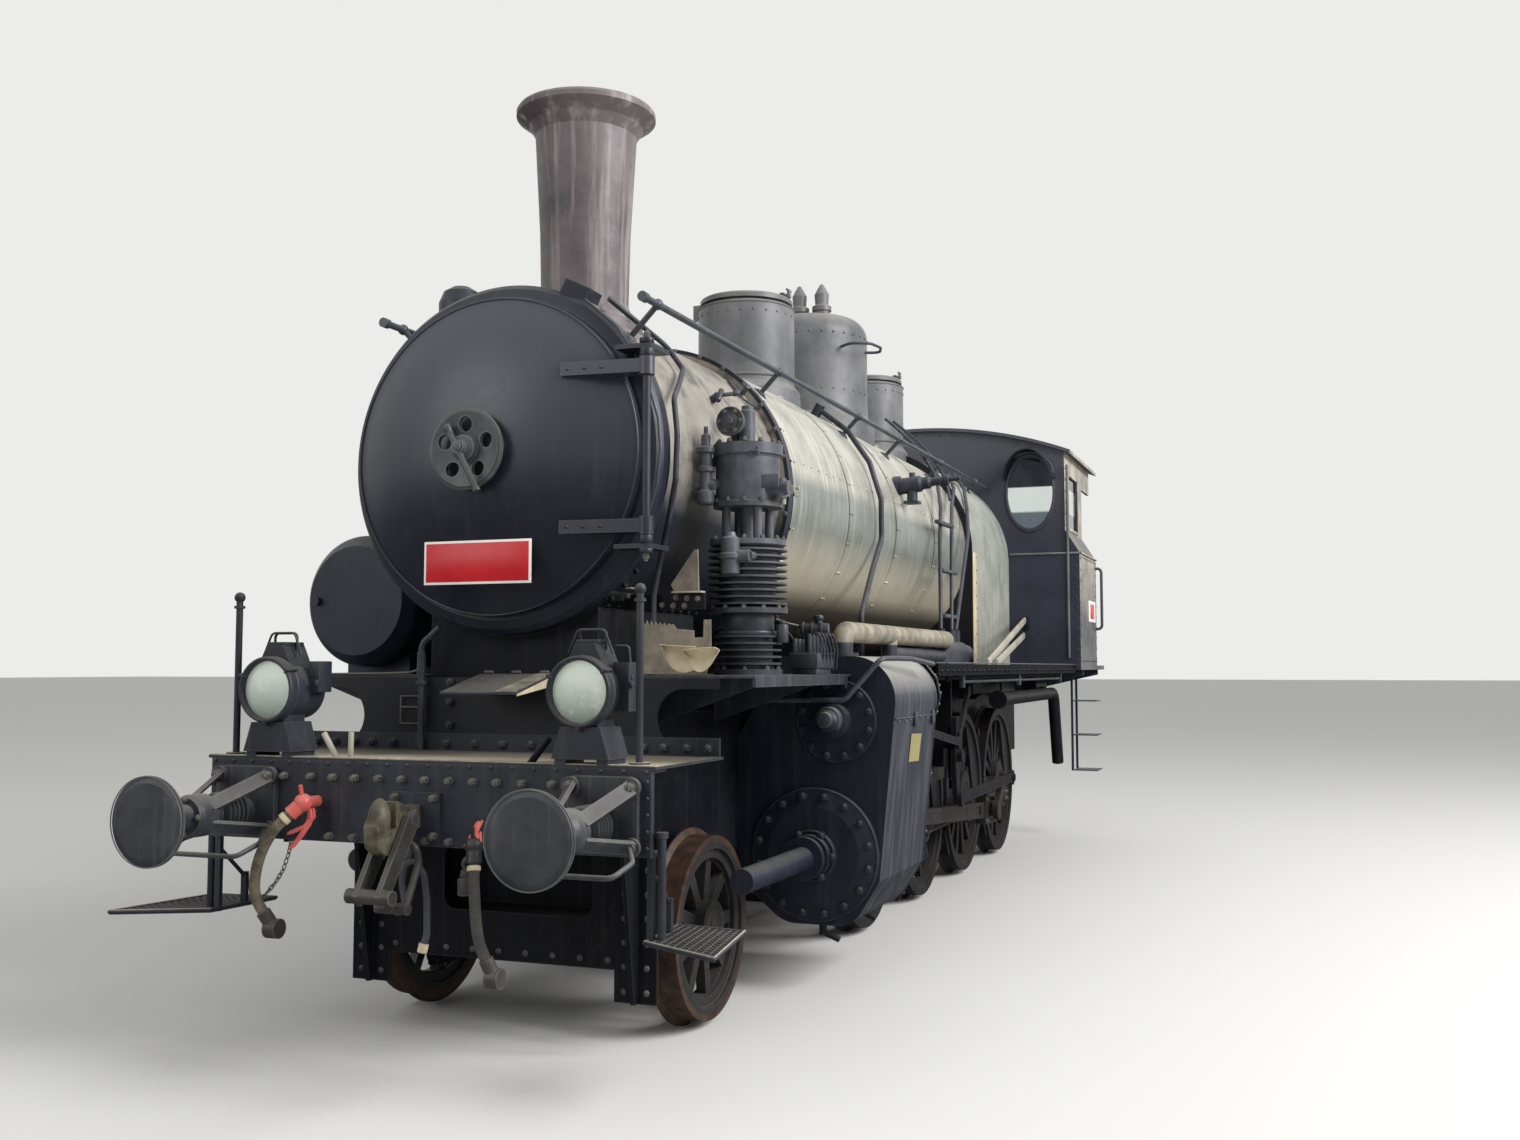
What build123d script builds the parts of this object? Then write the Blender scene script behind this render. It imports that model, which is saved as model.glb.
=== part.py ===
from build123d import *
import math
import os

# Steam locomotive with a leading axle and four coupled axles, standard gauge.
# Pieces are modelled with X across, Y behind the buffer faces and Z above the rail top, in mm.
# write() then moves them: the middle of the length comes to Y 0 and the flange tips to Z 0.
# The engine's own left side, with the compressor, is at +X.

# Whole machine
overall_length = 10620      # buffer faces to the rear edge of the cab roof
buffer_height = 1050
buffer_spacing = 1750
running_gap = 6             # between a moving piece and what it passes
pin_gap = 1                 # round a pin in its bore

# Wheels and axles
back_to_back = 1360         # between the inner faces of a pair of wheels
tyre_width = 140
tyre_thickness = 65
flange_depth = 28
flange_width = 34
lead_radius = 435
coupled_radius = 649
lead_axle_y = 1850
first_coupled_y = 4450
coupled_pitch = 1400
coupled_count = 4
driven_axle = 3             # the main rods work on this coupled axle, counted from the front
axle_radius = 90
rim_depth = 45
rim_inset = 20              # rim of the wheel centre, in from either face of the tyre
web_inset = 45              # spokes, in from either face of the tyre
lead_spokes = 9
coupled_spokes = 14
spoke_width = 58
lead_hub_radius = 125
coupled_hub_radius = 165
hub_proud = 6               # wheel hub and crank boss outside the tyre's outer face
counterweight_start = 355   # distance of a balance weight's straight edge from the axle
crank_throw = 316
left_crank = 202            # degrees at rest, from +Y over +Z; the right crank stands 90 degrees on
crank_boss_radius = 112
crank_pin_radius = 50

# Frame
frame_gap = 1170            # between the two frame plates
frame_thickness = 30
frame_top = 1450
frame_bottom = 430
frame_waist = 620           # underside of the plates ahead of the coupled wheels
frame_rear = 10500
lead_horn_bottom = 225
horn_width = 300
coupled_horn_top = 190      # top of a coupled axle's slot, over the axle
lead_horn_top = 150
stretcher_thickness = 30
pilot_stay_y = 1440
pilot_stay_bottom = 560
saddle_bottom = 1100
stretcher_stations = [2560, 3900, 5150, 6550, 9350]

# Front end
beam_y = 600
beam_thickness = 30
beam_half_width = 1100
beam_bottom = 925
beam_flange = 110
deck_top = 1280
deck_thickness = 12
front_plate_y = 1290        # upright plate across the frame behind the deck
front_plate_thickness = 12
front_board_top = 1635
board_thickness = 12
buffer_radius = 185
buffer_head_thickness = 22
buffer_plunger_radius = 52
buffer_flare = (100, 62)     # radii of the cone behind the head
buffer_flare_length = 150
buffer_stock_length = 380
buffer_base_half = 157
buffer_base_thickness = 22
buffer_base_middle = 1082   # height of the base plate's middle, above the buffer's own axis
buffer_strut_foot = 136     # across, and next the rise, from the base plate's middle to a strut's bolt
buffer_strut_rise = 117
buffer_strut_width = 62
buffer_strut_thickness = 18
grab_bar_radius = 11
hook_y = 430
hook_height = 1050
hook_pin_y = 490
hook_pin_radius = 24
beam_end_inset = 20         # the beam's plate stops short of the deck's end
guard_y = 1266
guard_thickness = 12
flag_post_x = 1000
flag_post_top = 1985
step_height = 600
step_corners = [(1059, 590), (1437, 390), (1342, 940), (1026, 981)]
step_rim_radius = 8
step_thickness = 12
step_post_x = 1108
step_post_radius = 17
wing_hole_x = 915           # middle and radius of the hole through the front plate's wings
wing_hole_z = 1440
wing_hole_radius = 135
flap_x = (-130, 262)        # hinged flap in front of the saddle
flap_front = 950
flap_front_z = 1560
flap_hinge_z = 1642
lamp_x = 770
lamp_axis = 1573
lamp_front = 568
lamp_length = 250
lamp_radius = 145
glass_radius = 126

# Smokebox and boiler
boiler_axis = 2647
smokebox_radius = 800
smokebox_wall = 16
smokebox_front = 1263
front_ring_radius = 824
front_ring_length = 70
barrel_front = 2900
barrel_radius = 840
band_height = 6
band_width = 70
band_count = 4
firebox_front = 7280
firebox_half_width = 890
firebox_rear = 9120
door_rim_radius = 741
door_rim_y = 1172
door_front_y = 980
door_thickness = 22
door_opening_radius = 640
door_hinge_x = 800
door_hinge_y = 1128
door_strap_rise = 355
door_strap_tip = 405        # reach of a strap's end from the middle
door_pin_radius = 20
chimney_y = 2050
chimney_top = 4600
chimney_foot_radius = 228
chimney_neck_radius = 266
chimney_lip_radius = 366
chimney_bore = 190
steam_dome_y = 5720
steam_dome_radius = 430
steam_dome_top = 4330
valve_offset = 90
valve_top = 4600
lid_pin_radius = 9
handrail_x = 703
handrail_z = 3362
handrail_radius = 17
handrail_front = 1276
handrail_rear = 8860
handrail_posts = [1446, 3088, 4658, 5707, 7000, 8300]
compressor_x = 1018
compressor_y = 1800
pump_fin_pitch = 32
lagged_pipe_x = 1120
lagged_pipe_z = 1866
lagged_pipe_y = (2960, 3900)    # its elbow over the cylinder and its branch down to the board
check_valve_y = 5350
check_valve_z = 2964

# Sand domes: place along, radius, top height, place across of the lid's hinge
sand_dome_rows = [
    (4370, 325, 4160, -345),
    (7300, 290, 4170, -310),
]

# Small pipes down the boiler's left side: radius, bend, points (x, y, z) from the top to the foot
small_pipe_rows = [
    (13, 70, [(430, 1480, 3425), (600, 1780, 3240), (705, 1735, 3112), (765, 1560, 3010),
              (818, 1380, 2900), (858, 1330, 2727), (850, 1330, 2514), (800, 1370, 2346),
              (705, 1470, 2136), (680, 1470, 2000), (680, 1470, 1643)]),
    (15, 110, [(560, 7413, 3390), (772, 6588, 3140), (890, 6200, 2900), (935, 5985, 2660),
               (1000, 5720, 1950)]),
    (15, 110, [(620, 7632, 3345), (773, 7147, 3164), (868, 6662, 2950), (936, 6360, 2700),
               (1000, 6060, 1950)]),
    (15, 110, [(520, 8248, 3435), (720, 7760, 3239), (855, 7272, 2998), (925, 7000, 2760),
               (1000, 6200, 1950)]),
]
sand_pipe_radius = 18
sand_pipe_reach = 892       # from the boiler's axis
sand_pipe_lead = 205        # behind the dome's middle
sand_pipe_foot = (870, 4146)
manifold_x = (930, 1080)    # casting on the left board that the small pipes run down to
manifold_y = (5450, 6280)
manifold_top = 1880

# Cylinders and rods
cylinder_front = 2700
cylinder_rear = 3600
cylinder_x = 1055
cylinder_axis = 690
cylinder_cover_radius = 345
valve_x = 1175
valve_axis = 1390
valve_cover_radius = 215
valve_gland_length = 140
cover_thickness = 40
cylinder_top = 1730
piston_rod_radius = 42
main_rod_length = 2400
main_rod_thickness = 60
coupling_rod_x = 900
coupling_rod_thickness = 50
rod_boss_radius = 105
rod_depth = 104
crosshead_pin_radius = 40
crosshead_width = 130
slide_bar_rise = 210        # underside of the slide bar over the piston rod's axis
slide_bar_depth = 80
slide_bar_width = 100
slipper_front = 190         # reach of the crosshead's slipper before and behind its pin
slipper_rear = 120
motion_bracket_y = 5300
motion_bracket_thickness = 30
return_throw = 135
gear_thickness = 36
piston_rod_reach = 1546     # crosshead pin to the rod's front end, inside the cylinder
reach_rod_x = 1350
reach_rod_z = 1605
reach_rod_radius = 14
reach_rod_guides = (4400, 6900, 8600)

# Boards and cab
rear_board_top = 1690
rear_board_half_width = 1500
valance_depth = 70
cab_front = 8880
cab_wall = 25
cab_rear = 10480
cab_lower_half_width = 1550
cab_upper_half_width = 1420
cab_ledge_bottom = 2740
cab_ledge_top = 2950
cab_eave = 3690
cab_crown = 3950
roof_thickness = 30
roof_overhang = 60
window_x = 1100             # oval front windows
window_z = 3316
window_half = (215, 350)
visor_z = 3480
visor_half = (232, 205)
visor_thickness = 10
visor_reach = 120
side_window_y = (9080, 9620)
side_window_z = (2990, 3480)
doorway_y = 9960
cab_floor_rim = 30
cab_bracket_rows = (9300, 10300)
cab_bracket_thickness = 16
cab_bracket_drop = 60
cab_bracket_inset = 40
cab_bracket_tip = 50
drawbar_pin_y = 10410
drawbar_pin_radius = 45

# Front brake hoses: cock place (x, y, z) and the hose's route, cock to coupling head
hose_radius = 23
hose_rows = {
    "left": [
        (330, 520, 880), (338, 507, 815), (350, 497, 745), (360, 490, 670), (370, 490, 600), (384, 494, 545),
        (400, 505, 505),
    ],
    "right": [
        (-545, 470, 1050), (-580, 442, 1010), (-618, 424, 950), (-650, 415, 880), (-672, 415, 805),
        (-682, 422, 735), (-676, 434, 680), (-655, 448, 640),
    ],
}

# Worked out from the sizes above
left = 1
right = -1
frame_inner = frame_gap / 2
frame_outer = frame_inner + frame_thickness
wheel_inner = back_to_back / 2
wheel_outer = wheel_inner + tyre_width
driven_y = first_coupled_y + (driven_axle - 1) * coupled_pitch
coupled_stations = [first_coupled_y + i * coupled_pitch for i in range(coupled_count)]
last_coupled_y = coupled_stations[-1]
board_bottom = front_board_top - board_thickness
rear_board_bottom = rear_board_top - board_thickness
deck_bottom = deck_top - deck_thickness
beam_rear = beam_y + beam_thickness
front_plate_rear = front_plate_y + front_plate_thickness
crank_angle = {left: left_crank, right: left_crank + 90}
smokebox_top = boiler_axis + smokebox_radius
eccentric_rod_x = cylinder_x + main_rod_thickness / 2 + 82 + running_gap
link_shaft_y = motion_bracket_y + 335


def polar(radius, degrees):
    return radius * math.cos(math.radians(degrees)), radius * math.sin(math.radians(degrees))


def crank_pin(side, axle_y=driven_y):
    """Y and Z of a crank pin at rest."""
    y, z = polar(crank_throw, crank_angle[side])
    return axle_y + y, coupled_radius + z


def crosshead_place(side):
    """Y of the crosshead pin at rest, from the main rod's length."""
    y, z = crank_pin(side)
    return y - math.sqrt(main_rod_length ** 2 - (cylinder_axis - z) ** 2)


def block(x, y, z):
    """Rectangular solid between three (low, high) pairs."""
    pairs = (x, y, z)
    middle = [(low + high) / 2 for low, high in pairs]
    size = [high - low for low, high in pairs]
    return Pos(*middle) * Box(*size)


def rod(start, end, radius):
    """Round bar between two points."""
    run = Vector(*end) - Vector(*start)
    bar = Cylinder(radius, run.length, align=(Align.CENTER, Align.CENTER, Align.MIN))
    return Plane(origin=start, z_dir=run).location * bar


def face_of(points, rounded=None):
    """Closed outline; rounded gives a radius for the corners with the listed numbers."""
    face = make_face(Polyline(*points, close=True))
    for number, radius in (rounded or {}).items():
        corner = face.vertices().sort_by_distance((*points[number], 0))[0]
        face = fillet(corner, radius)
    return face


def side_plate(points, x, rounded=None):
    """Outline of (y, z) points between two places across."""
    return Plane.YZ.offset(x[0]).location * extrude(face_of(points, rounded), x[1] - x[0])


def cross_plate(points, y, rounded=None):
    """Outline of (x, z) points between two places along."""
    back = Plane(origin=(0, y[1], 0), x_dir=(1, 0, 0), z_dir=(0, -1, 0))
    return back.location * extrude(face_of(points, rounded), y[1] - y[0])


def flat_plate(points, z, rounded=None):
    """Outline of (x, y) points between two heights."""
    return Pos(0, 0, z[0]) * extrude(face_of(points, rounded), z[1] - z[0])


def turned(profile, origin, direction, rounded=None, hollow=False):
    """Solid of revolution; profile rows are (radius, distance along the direction)."""
    rows = list(profile)
    if not hollow:
        rows = rows + [(0, rows[-1][1]), (0, rows[0][1])]
    solid = revolve(face_of(rows, rounded), Axis.Y)
    return Plane(origin=origin, z_dir=direction).location * Rot(90, 0, 0) * solid


def pipe(points, radius, bend):
    """Round pipe or bar along straight runs joined by arcs."""
    path = FilletPolyline(*points, radius=bend)
    start = Plane(origin=path @ 0, z_dir=path % 0)
    return sweep(start * Circle(radius), path=path)


def both(solid):
    """A piece and its mirror image on the other side."""
    return [solid, mirror(solid, about=Plane.YZ)]


def write(node, solids):
    """Join what touches, move it to the part frame and write it as one file."""
    piece = Part() + solids
    placed = Pos(0, -overall_length / 2, flange_depth) * piece
    export_step(placed, f"parts/{node}.step")


def boiler_shell(radius, y):
    """Cylinder on the boiler's axis, used for the shells and to fit pieces onto them."""
    return rod((0, y[0], boiler_axis), (0, y[1], boiler_axis), radius)


def firebox_outline(half_width, bottom):
    """Flat sides and a round top."""
    lower = Rectangle(2 * half_width, boiler_axis - bottom, align=(Align.CENTER, Align.MAX))
    return Pos(0, boiler_axis) * (lower + Circle(half_width))


def firebox_shell(half_width, y, bottom):
    back = Plane(origin=(0, y[1], 0), x_dir=(1, 0, 0), z_dir=(0, -1, 0))
    return back.location * extrude(firebox_outline(half_width, bottom), y[1] - y[0])


def wheel(side, y, radius, spokes, hub_radius):
    """Tyre and spoked centre of one wheel, with its outer face away from the frame."""
    inner = (side * wheel_inner, y, radius)
    outward = (side, 0, 0)
    seat = radius - tyre_thickness
    tyre = turned(
        [
            (seat, 0),
            (radius + flange_depth / 2, 0),
            (radius + flange_depth, 10),
            (radius + flange_depth, 18),
            (radius, flange_width),
            (radius - 4, tyre_width),
            (seat, tyre_width),
        ],
        inner,
        outward,
        hollow=True,
    )
    rim_inner = seat - rim_depth
    rim = turned(
        [
            (rim_inner, rim_inset),
            (seat, rim_inset),
            (seat, tyre_width - rim_inset),
            (rim_inner, tyre_width - rim_inset),
        ],
        inner,
        outward,
        hollow=True,
    )
    web = Circle(rim_inner + 4)
    step = 360 / spokes
    for number in range(spokes):
        corners = []
        for reach in (hub_radius - 10, rim_inner - 2):
            half = math.degrees(math.asin(spoke_width / 2 / reach))
            first = polar(reach, number * step + half)
            last = polar(reach, (number + 1) * step - half)
            corners.append((first, last))
        window = [corners[0][0], corners[1][0], corners[1][1], corners[0][1]]
        web -= face_of(window)
    web = extrude(web, tyre_width - 2 * web_inset)
    turn = Plane(origin=(side * (wheel_inner + tyre_width / 2), y, radius), x_dir=(0, 1, 0), z_dir=(1, 0, 0))
    web = turn.location * Pos(0, 0, -(tyre_width - 2 * web_inset) / 2) * web
    hub_end = (side * (wheel_outer + hub_proud), y, radius)
    hub = rod((side * (wheel_inner - 5), y, radius), hub_end, hub_radius)
    return tyre + rim + web + hub


def crank_and_weight(side, y):
    """Crank boss, balance weight and crank pin of a coupled wheel."""
    angle = crank_angle[side]
    seat = coupled_radius - tyre_thickness
    plane = Plane(origin=(0, y, coupled_radius), x_dir=(0, 1, 0), z_dir=(1, 0, 0))
    outer = wheel_outer + hub_proud
    near = wheel_inner + web_inset
    arm = Pos(crank_throw / 2, 0) * Rectangle(crank_throw, 1.6 * crank_boss_radius)
    arm += Pos(crank_throw, 0) * Circle(crank_boss_radius)
    weight = Circle(seat - rim_depth / 2)
    weight -= Pos(-counterweight_start, 0) * Rectangle(
        2 * seat, 2 * seat, align=(Align.MIN, Align.CENTER)
    )
    arm = Rot(0, 0, angle) * arm
    weight = Rot(0, 0, angle) * weight
    arm = plane.location * Pos(0, 0, near) * extrude(arm, outer - near)
    weight_depth = tyre_width - 2 * rim_inset
    weight = plane.location * Pos(0, 0, wheel_inner + rim_inset) * extrude(weight, weight_depth)
    pin_y, pin_z = crank_pin(left, y) if side == left else crank_pin(right, y)
    pin_end = coupling_rod_x + coupling_rod_thickness / 2 + 12
    pin = rod((outer - 20, pin_y, pin_z), (pin_end, pin_y, pin_z), crank_pin_radius)
    cap_start = coupling_rod_x + coupling_rod_thickness / 2 + pin_gap
    cap = rod((cap_start, pin_y, pin_z), (pin_end, pin_y, pin_z), crank_pin_radius + 18)
    shapes = arm + weight + pin + cap
    if side == left:
        return shapes
    return mirror(shapes, about=Plane.YZ)


def lead_wheelset():
    y = lead_axle_y
    shapes = rod((-wheel_inner, y, lead_radius), (wheel_inner, y, lead_radius), axle_radius)
    for side in (left, right):
        shapes += wheel(side, y, lead_radius, lead_spokes, lead_hub_radius)
    write("lead_wheelset", shapes)


def coupled_wheelsets():
    for number, y in enumerate(coupled_stations, start=1):
        shapes = rod((-wheel_inner, y, coupled_radius), (wheel_inner, y, coupled_radius), axle_radius)
        for side in (left, right):
            shapes += wheel(side, y, coupled_radius, coupled_spokes, coupled_hub_radius)
            shapes += crank_and_weight(side, y)
        write(f"coupled_wheelset_{number}", shapes)


def coupling_rods():
    """One rod a side over all four crank pins, with round ends and fluted lengths between."""
    low = coupling_rod_x - coupling_rod_thickness / 2
    high = coupling_rod_x + coupling_rod_thickness / 2
    for side, name in ((left, "left"), (right, "right")):
        pins = [crank_pin(side, y) for y in coupled_stations]
        z = pins[0][1]
        bar = block((low, high), (pins[0][0], pins[-1][0]), (z - rod_depth / 2, z + rod_depth / 2))
        for first, last in zip(pins, pins[1:]):
            flute = (first[0] + 1.6 * rod_boss_radius, last[0] - 1.6 * rod_boss_radius)
            depth = (z - rod_depth / 2 + 20, z + rod_depth / 2 - 20)
            bar -= block((high - 12, high), flute, depth)
        for y, height in pins:
            bar += rod((low, y, height), (high, y, height), rod_boss_radius)
            bar -= rod((low, y, height), (high, y, height), crank_pin_radius + pin_gap)
        if side == right:
            bar = mirror(bar, about=Plane.YZ)
        write(f"coupling_rod_{name}", bar)


def main_rods():
    """Main rod from the crosshead pin to the crank, with the outer journal and return crank."""
    low = cylinder_x - main_rod_thickness / 2
    high = cylinder_x + main_rod_thickness / 2
    for side, name in ((left, "left"), (right, "right")):
        pin_y, pin_z = crank_pin(side)
        eye_y = crosshead_place(side)
        slope = math.degrees(math.atan2(pin_z - cylinder_axis, pin_y - eye_y))
        small_end = 85
        taper = [
            (0, -48),
            (main_rod_length - 150, -62),
            (main_rod_length - 150, 62),
            (0, 48),
        ]
        shank = side_plate(taper, (low, high))
        shank -= side_plate([(160, -26), (main_rod_length - 320, -34),
                             (main_rod_length - 320, 34), (160, 26)], (high - 14, high))
        big_end = side_plate(
            [(main_rod_length - 190, -110), (main_rod_length + 130, -110),
             (main_rod_length + 130, 110), (main_rod_length - 190, 110)],
            (low - 15, high + 10),
            {1: 30, 2: 30},
        )
        eye = rod((low, 0, 0), (high, 0, 0), small_end)
        bar = shank + big_end + eye
        bar -= rod((low - 20, 0, 0), (high + 20, 0, 0), crosshead_pin_radius + pin_gap)
        bar = Pos(0, eye_y, cylinder_axis) * Rot(slope, 0, 0) * bar
        journal_start = coupling_rod_x + coupling_rod_thickness / 2 + 12 + running_gap
        arm_low = high + 40
        arm_high = arm_low + 42
        bar += rod((journal_start, pin_y, pin_z), (arm_high, pin_y, pin_z), crank_pin_radius)
        return_y, return_z = return_pin(side)
        reach = math.hypot(return_y - pin_y, return_z - pin_z)
        lean = math.degrees(math.atan2(return_z - pin_z, return_y - pin_y))
        arm = side_plate([(0, -62), (reach, -42), (reach, 42), (0, 62)], (arm_low, arm_high))
        arm += rod((arm_low, 0, 0), (arm_high, 0, 0), 80)
        arm += rod((arm_low, reach, 0), (arm_high, reach, 0), 52)
        bar += Pos(0, pin_y, pin_z) * Rot(lean, 0, 0) * arm
        if side == right:
            bar = mirror(bar, about=Plane.YZ)
        write(f"main_rod_{name}", bar)


def return_pin(side):
    """Y and Z of the return crank's pin, a quarter turn behind the crank."""
    y, z = polar(return_throw, crank_angle[side] - 90)
    return driven_y + y, coupled_radius + z


def crosshead(side):
    """Crosshead hung under one slide bar, with its pin and piston rod."""
    y = crosshead_place(side)
    half = crosshead_width / 2
    x = (cylinder_x - half, cylinder_x + half)
    bar_low = cylinder_axis + slide_bar_rise
    bar_high = bar_low + slide_bar_depth
    top = bar_high + 26
    body = side_plate(
        [(y - 150, cylinder_axis - 60), (y - 60, cylinder_axis - 105), (y + 70, cylinder_axis - 105),
         (y + 110, cylinder_axis - 60), (y + 110, bar_low - 40), (y + slipper_rear, bar_low - 25),
         (y + slipper_rear, top), (y - slipper_front, top), (y - slipper_front, bar_low - 25),
         (y - 120, bar_low - 40)],
        x,
    )
    guide = slide_bar_width / 2 + pin_gap
    body -= block((cylinder_x - guide, cylinder_x + guide), (y - 200, y + 200),
                  (bar_low - pin_gap, bar_high + pin_gap))
    fork = main_rod_thickness / 2 + 4
    body -= block((cylinder_x - fork, cylinder_x + fork), (y - 95, y + 200),
                  (cylinder_axis - 120, bar_low - 55))
    pin = rod((x[0] - 8, y, cylinder_axis), (x[1] + 8, y, cylinder_axis), crosshead_pin_radius)
    rod_end = y - piston_rod_reach
    root = (cylinder_x, y - 140, cylinder_axis)
    piston = rod((cylinder_x, rod_end, cylinder_axis), root, piston_rod_radius)
    socket = rod((cylinder_x, y - 240, cylinder_axis), (cylinder_x, y - 140, cylinder_axis), 66)
    arm_x = (x[1], x[1] + 20)
    arm = side_plate(
        [(y - 60, cylinder_axis + 30), (y + 20, cylinder_axis + 30), (y - 10, cylinder_axis - 250),
         (y - 60, cylinder_axis - 250)],
        arm_x,
    )
    return body + pin + piston + socket + arm


def crossheads():
    write("crosshead_left", crosshead(left))
    write("crosshead_right", mirror(crosshead(right), about=Plane.YZ))


def slide_bars():
    """Single bar over each crosshead, from the rear cylinder cover to the motion bracket."""
    half = slide_bar_width / 2
    low = cylinder_axis + slide_bar_rise
    bar = block((cylinder_x - half, cylinder_x + half),
                (cylinder_rear + cover_thickness, motion_bracket_y + motion_bracket_thickness + 20),
                (low, low + slide_bar_depth))
    write("slide_bars", both(bar))


def motion_brackets():
    """Plate a side across the frame, with an outer leg that carries the expansion link."""
    bar_top = cylinder_axis + slide_bar_rise + slide_bar_depth
    leg_inner = cylinder_x + crosshead_width / 2 + 22
    leg_outer = eccentric_rod_x - running_gap / 2
    y = (motion_bracket_y, motion_bracket_y + motion_bracket_thickness)
    arch = bar_top + 125
    plate = cross_plate(
        [(frame_outer, arch), (cylinder_x - 60, arch), (cylinder_x - 60, bar_top),
         (cylinder_x + 60, bar_top), (cylinder_x + 60, arch), (leg_inner, arch),
         (leg_inner, 900), (leg_outer, 900), (leg_outer, arch),
         (leg_outer, rear_board_bottom), (frame_outer, rear_board_bottom)],
        y,
    )
    plate -= rod((820, y[0], arch + 200), (820, y[1], arch + 200), 110)
    write("motion_brackets", both(plate))


def cylinders():
    """Cylinder and steam chest casting with its lagging, covers, tail rod tubes and drain cocks."""
    outline = [
        (frame_outer, 1300), (860, cylinder_top), (1515, cylinder_top), (1400, 560), (1250, 320), (870, 320),
        (frame_outer, 540),
    ]
    casting = cross_plate(outline, (cylinder_front, cylinder_rear), {2: 235, 4: 150, 5: 200})
    front = (cylinder_x, cylinder_front, cylinder_axis)
    forward = (0, -1, 0)
    backward = (0, 1, 0)
    casting += turned(
        [(cylinder_cover_radius, 0), (cylinder_cover_radius, cover_thickness),
         (250, cover_thickness + 22), (130, cover_thickness + 22), (130, 100), (112, 100),
         (112, 150), (62, 150), (58, cylinder_front - 1630)],
        front, forward,
    )
    casting += turned([(112, 200), (112, 235)], front, forward)
    casting += turned(
        [(valve_cover_radius, 0), (valve_cover_radius, 34), (90, 44), (90, 120), (62, 130), (62, 215)],
        (valve_x, cylinder_front, valve_axis), forward, {5: 40},
    )
    casting += turned(
        [(330, 0), (330, cover_thickness), (115, cover_thickness), (115, 100), (80, 110)],
        (cylinder_x, cylinder_rear, cylinder_axis), backward,
    )
    casting += turned(
        [(190, 0), (190, 34), (80, 44), (80, valve_gland_length)],
        (valve_x, cylinder_rear, valve_axis), backward,
    )
    bore = piston_rod_radius + pin_gap
    lowest = driven_y - crank_throw - main_rod_length - piston_rod_reach - 40
    bore_end = (cylinder_x, cylinder_rear + 200, cylinder_axis)
    casting -= rod((cylinder_x, lowest, cylinder_axis), bore_end, bore)
    for y in (cylinder_front + 110, cylinder_rear - 110):
        casting += rod((cylinder_x, y, 340), (cylinder_x, y, 250), 22)
        casting += rod((cylinder_x - 10, y, 268), (cylinder_x + 90, y, 230), 16)
    write("cylinders", both(casting))


def frame_plates():
    """Two cut-out plates with slots for the axle boxes and lightening holes between."""
    front_drop = guard_y + guard_thickness
    outline = [
        (beam_rear, beam_bottom), (beam_rear, deck_bottom), (front_plate_rear, deck_bottom),
        (front_plate_rear, frame_top), (frame_rear, frame_top), (frame_rear, 820),
        (last_coupled_y + 620, 820), (last_coupled_y + 450, frame_bottom),
        (first_coupled_y - 450, frame_bottom), (first_coupled_y - 620, frame_waist),
        (lead_axle_y + 330, frame_waist), (lead_axle_y + 240, lead_horn_bottom),
        (lead_axle_y - 240, lead_horn_bottom), (lead_axle_y - 330, frame_waist),
        (front_drop, frame_waist), (front_drop, beam_bottom),
    ]
    x = (frame_inner, frame_outer)
    plate = side_plate(outline, x)
    half = horn_width / 2
    plate -= block(x, (lead_axle_y - half, lead_axle_y + half), (0, lead_radius + lead_horn_top))
    for y in coupled_stations:
        plate -= block(x, (y - half, y + half), (0, coupled_radius + coupled_horn_top))
    for y in coupled_stations[1:]:
        middle = y - coupled_pitch / 2
        hole = SlotCenterToCenter(360, 260)
        hole = Plane.YZ.offset(frame_inner).location * Pos(middle, 1130) * extrude(hole, frame_thickness)
        plate -= hole
    write("frame_plates", both(plate))


def frame_stretchers():
    """Cross plates between the frame plates, horn stays under the slots and the drag box."""
    span = (pilot_stay_y, pilot_stay_y + stretcher_thickness)
    solids = [block((-frame_inner, frame_inner), span, (pilot_stay_bottom, saddle_bottom))]
    for y in stretcher_stations:
        span = (y, y + stretcher_thickness)
        plate = block((-frame_inner, frame_inner), span, (700, frame_top - 50))
        opening = SlotCenterToCenter(500, 300)
        back = Plane(origin=(0, span[1], 0), x_dir=(1, 0, 0), z_dir=(0, -1, 0))
        plate -= back.location * Pos(0, 1040) * extrude(opening, stretcher_thickness)
        solids.append(plate)
    stay_x = (frame_inner - 15, frame_outer + 15)
    stays = [(lead_axle_y, lead_horn_bottom)] + [(y, frame_bottom) for y in coupled_stations]
    for y, under in stays:
        reach = horn_width / 2 + 60
        solids += both(block(stay_x, (y - reach, y + reach), (under - 32, under)))
    drag_box = block((-frame_inner, frame_inner), (10200, frame_rear), (880, 1240))
    drag_box -= block((-170, 170), (10330, frame_rear), (1000, 1120))
    drag_box -= rod((0, drawbar_pin_y, 880), (0, drawbar_pin_y, 1240), drawbar_pin_radius)
    solids.append(drag_box)
    write("frame_stretchers", solids)


def axle_boxes():
    """Bearing blocks in the slots, bored for the axles."""
    solids = []
    half = horn_width / 2
    x = (frame_inner - 25, frame_outer + 25)
    rows = [(lead_axle_y, lead_radius, lead_horn_top)]
    rows += [(y, coupled_radius, coupled_horn_top) for y in coupled_stations]
    for y, axle, top in rows:
        box = block(x, (y - half, y + half), (axle - 160, axle + top - 12))
        box -= rod((x[0], y, axle), (x[1], y, axle), axle_radius + pin_gap)
        solids += both(box)
    write("axle_boxes", solids)


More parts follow.
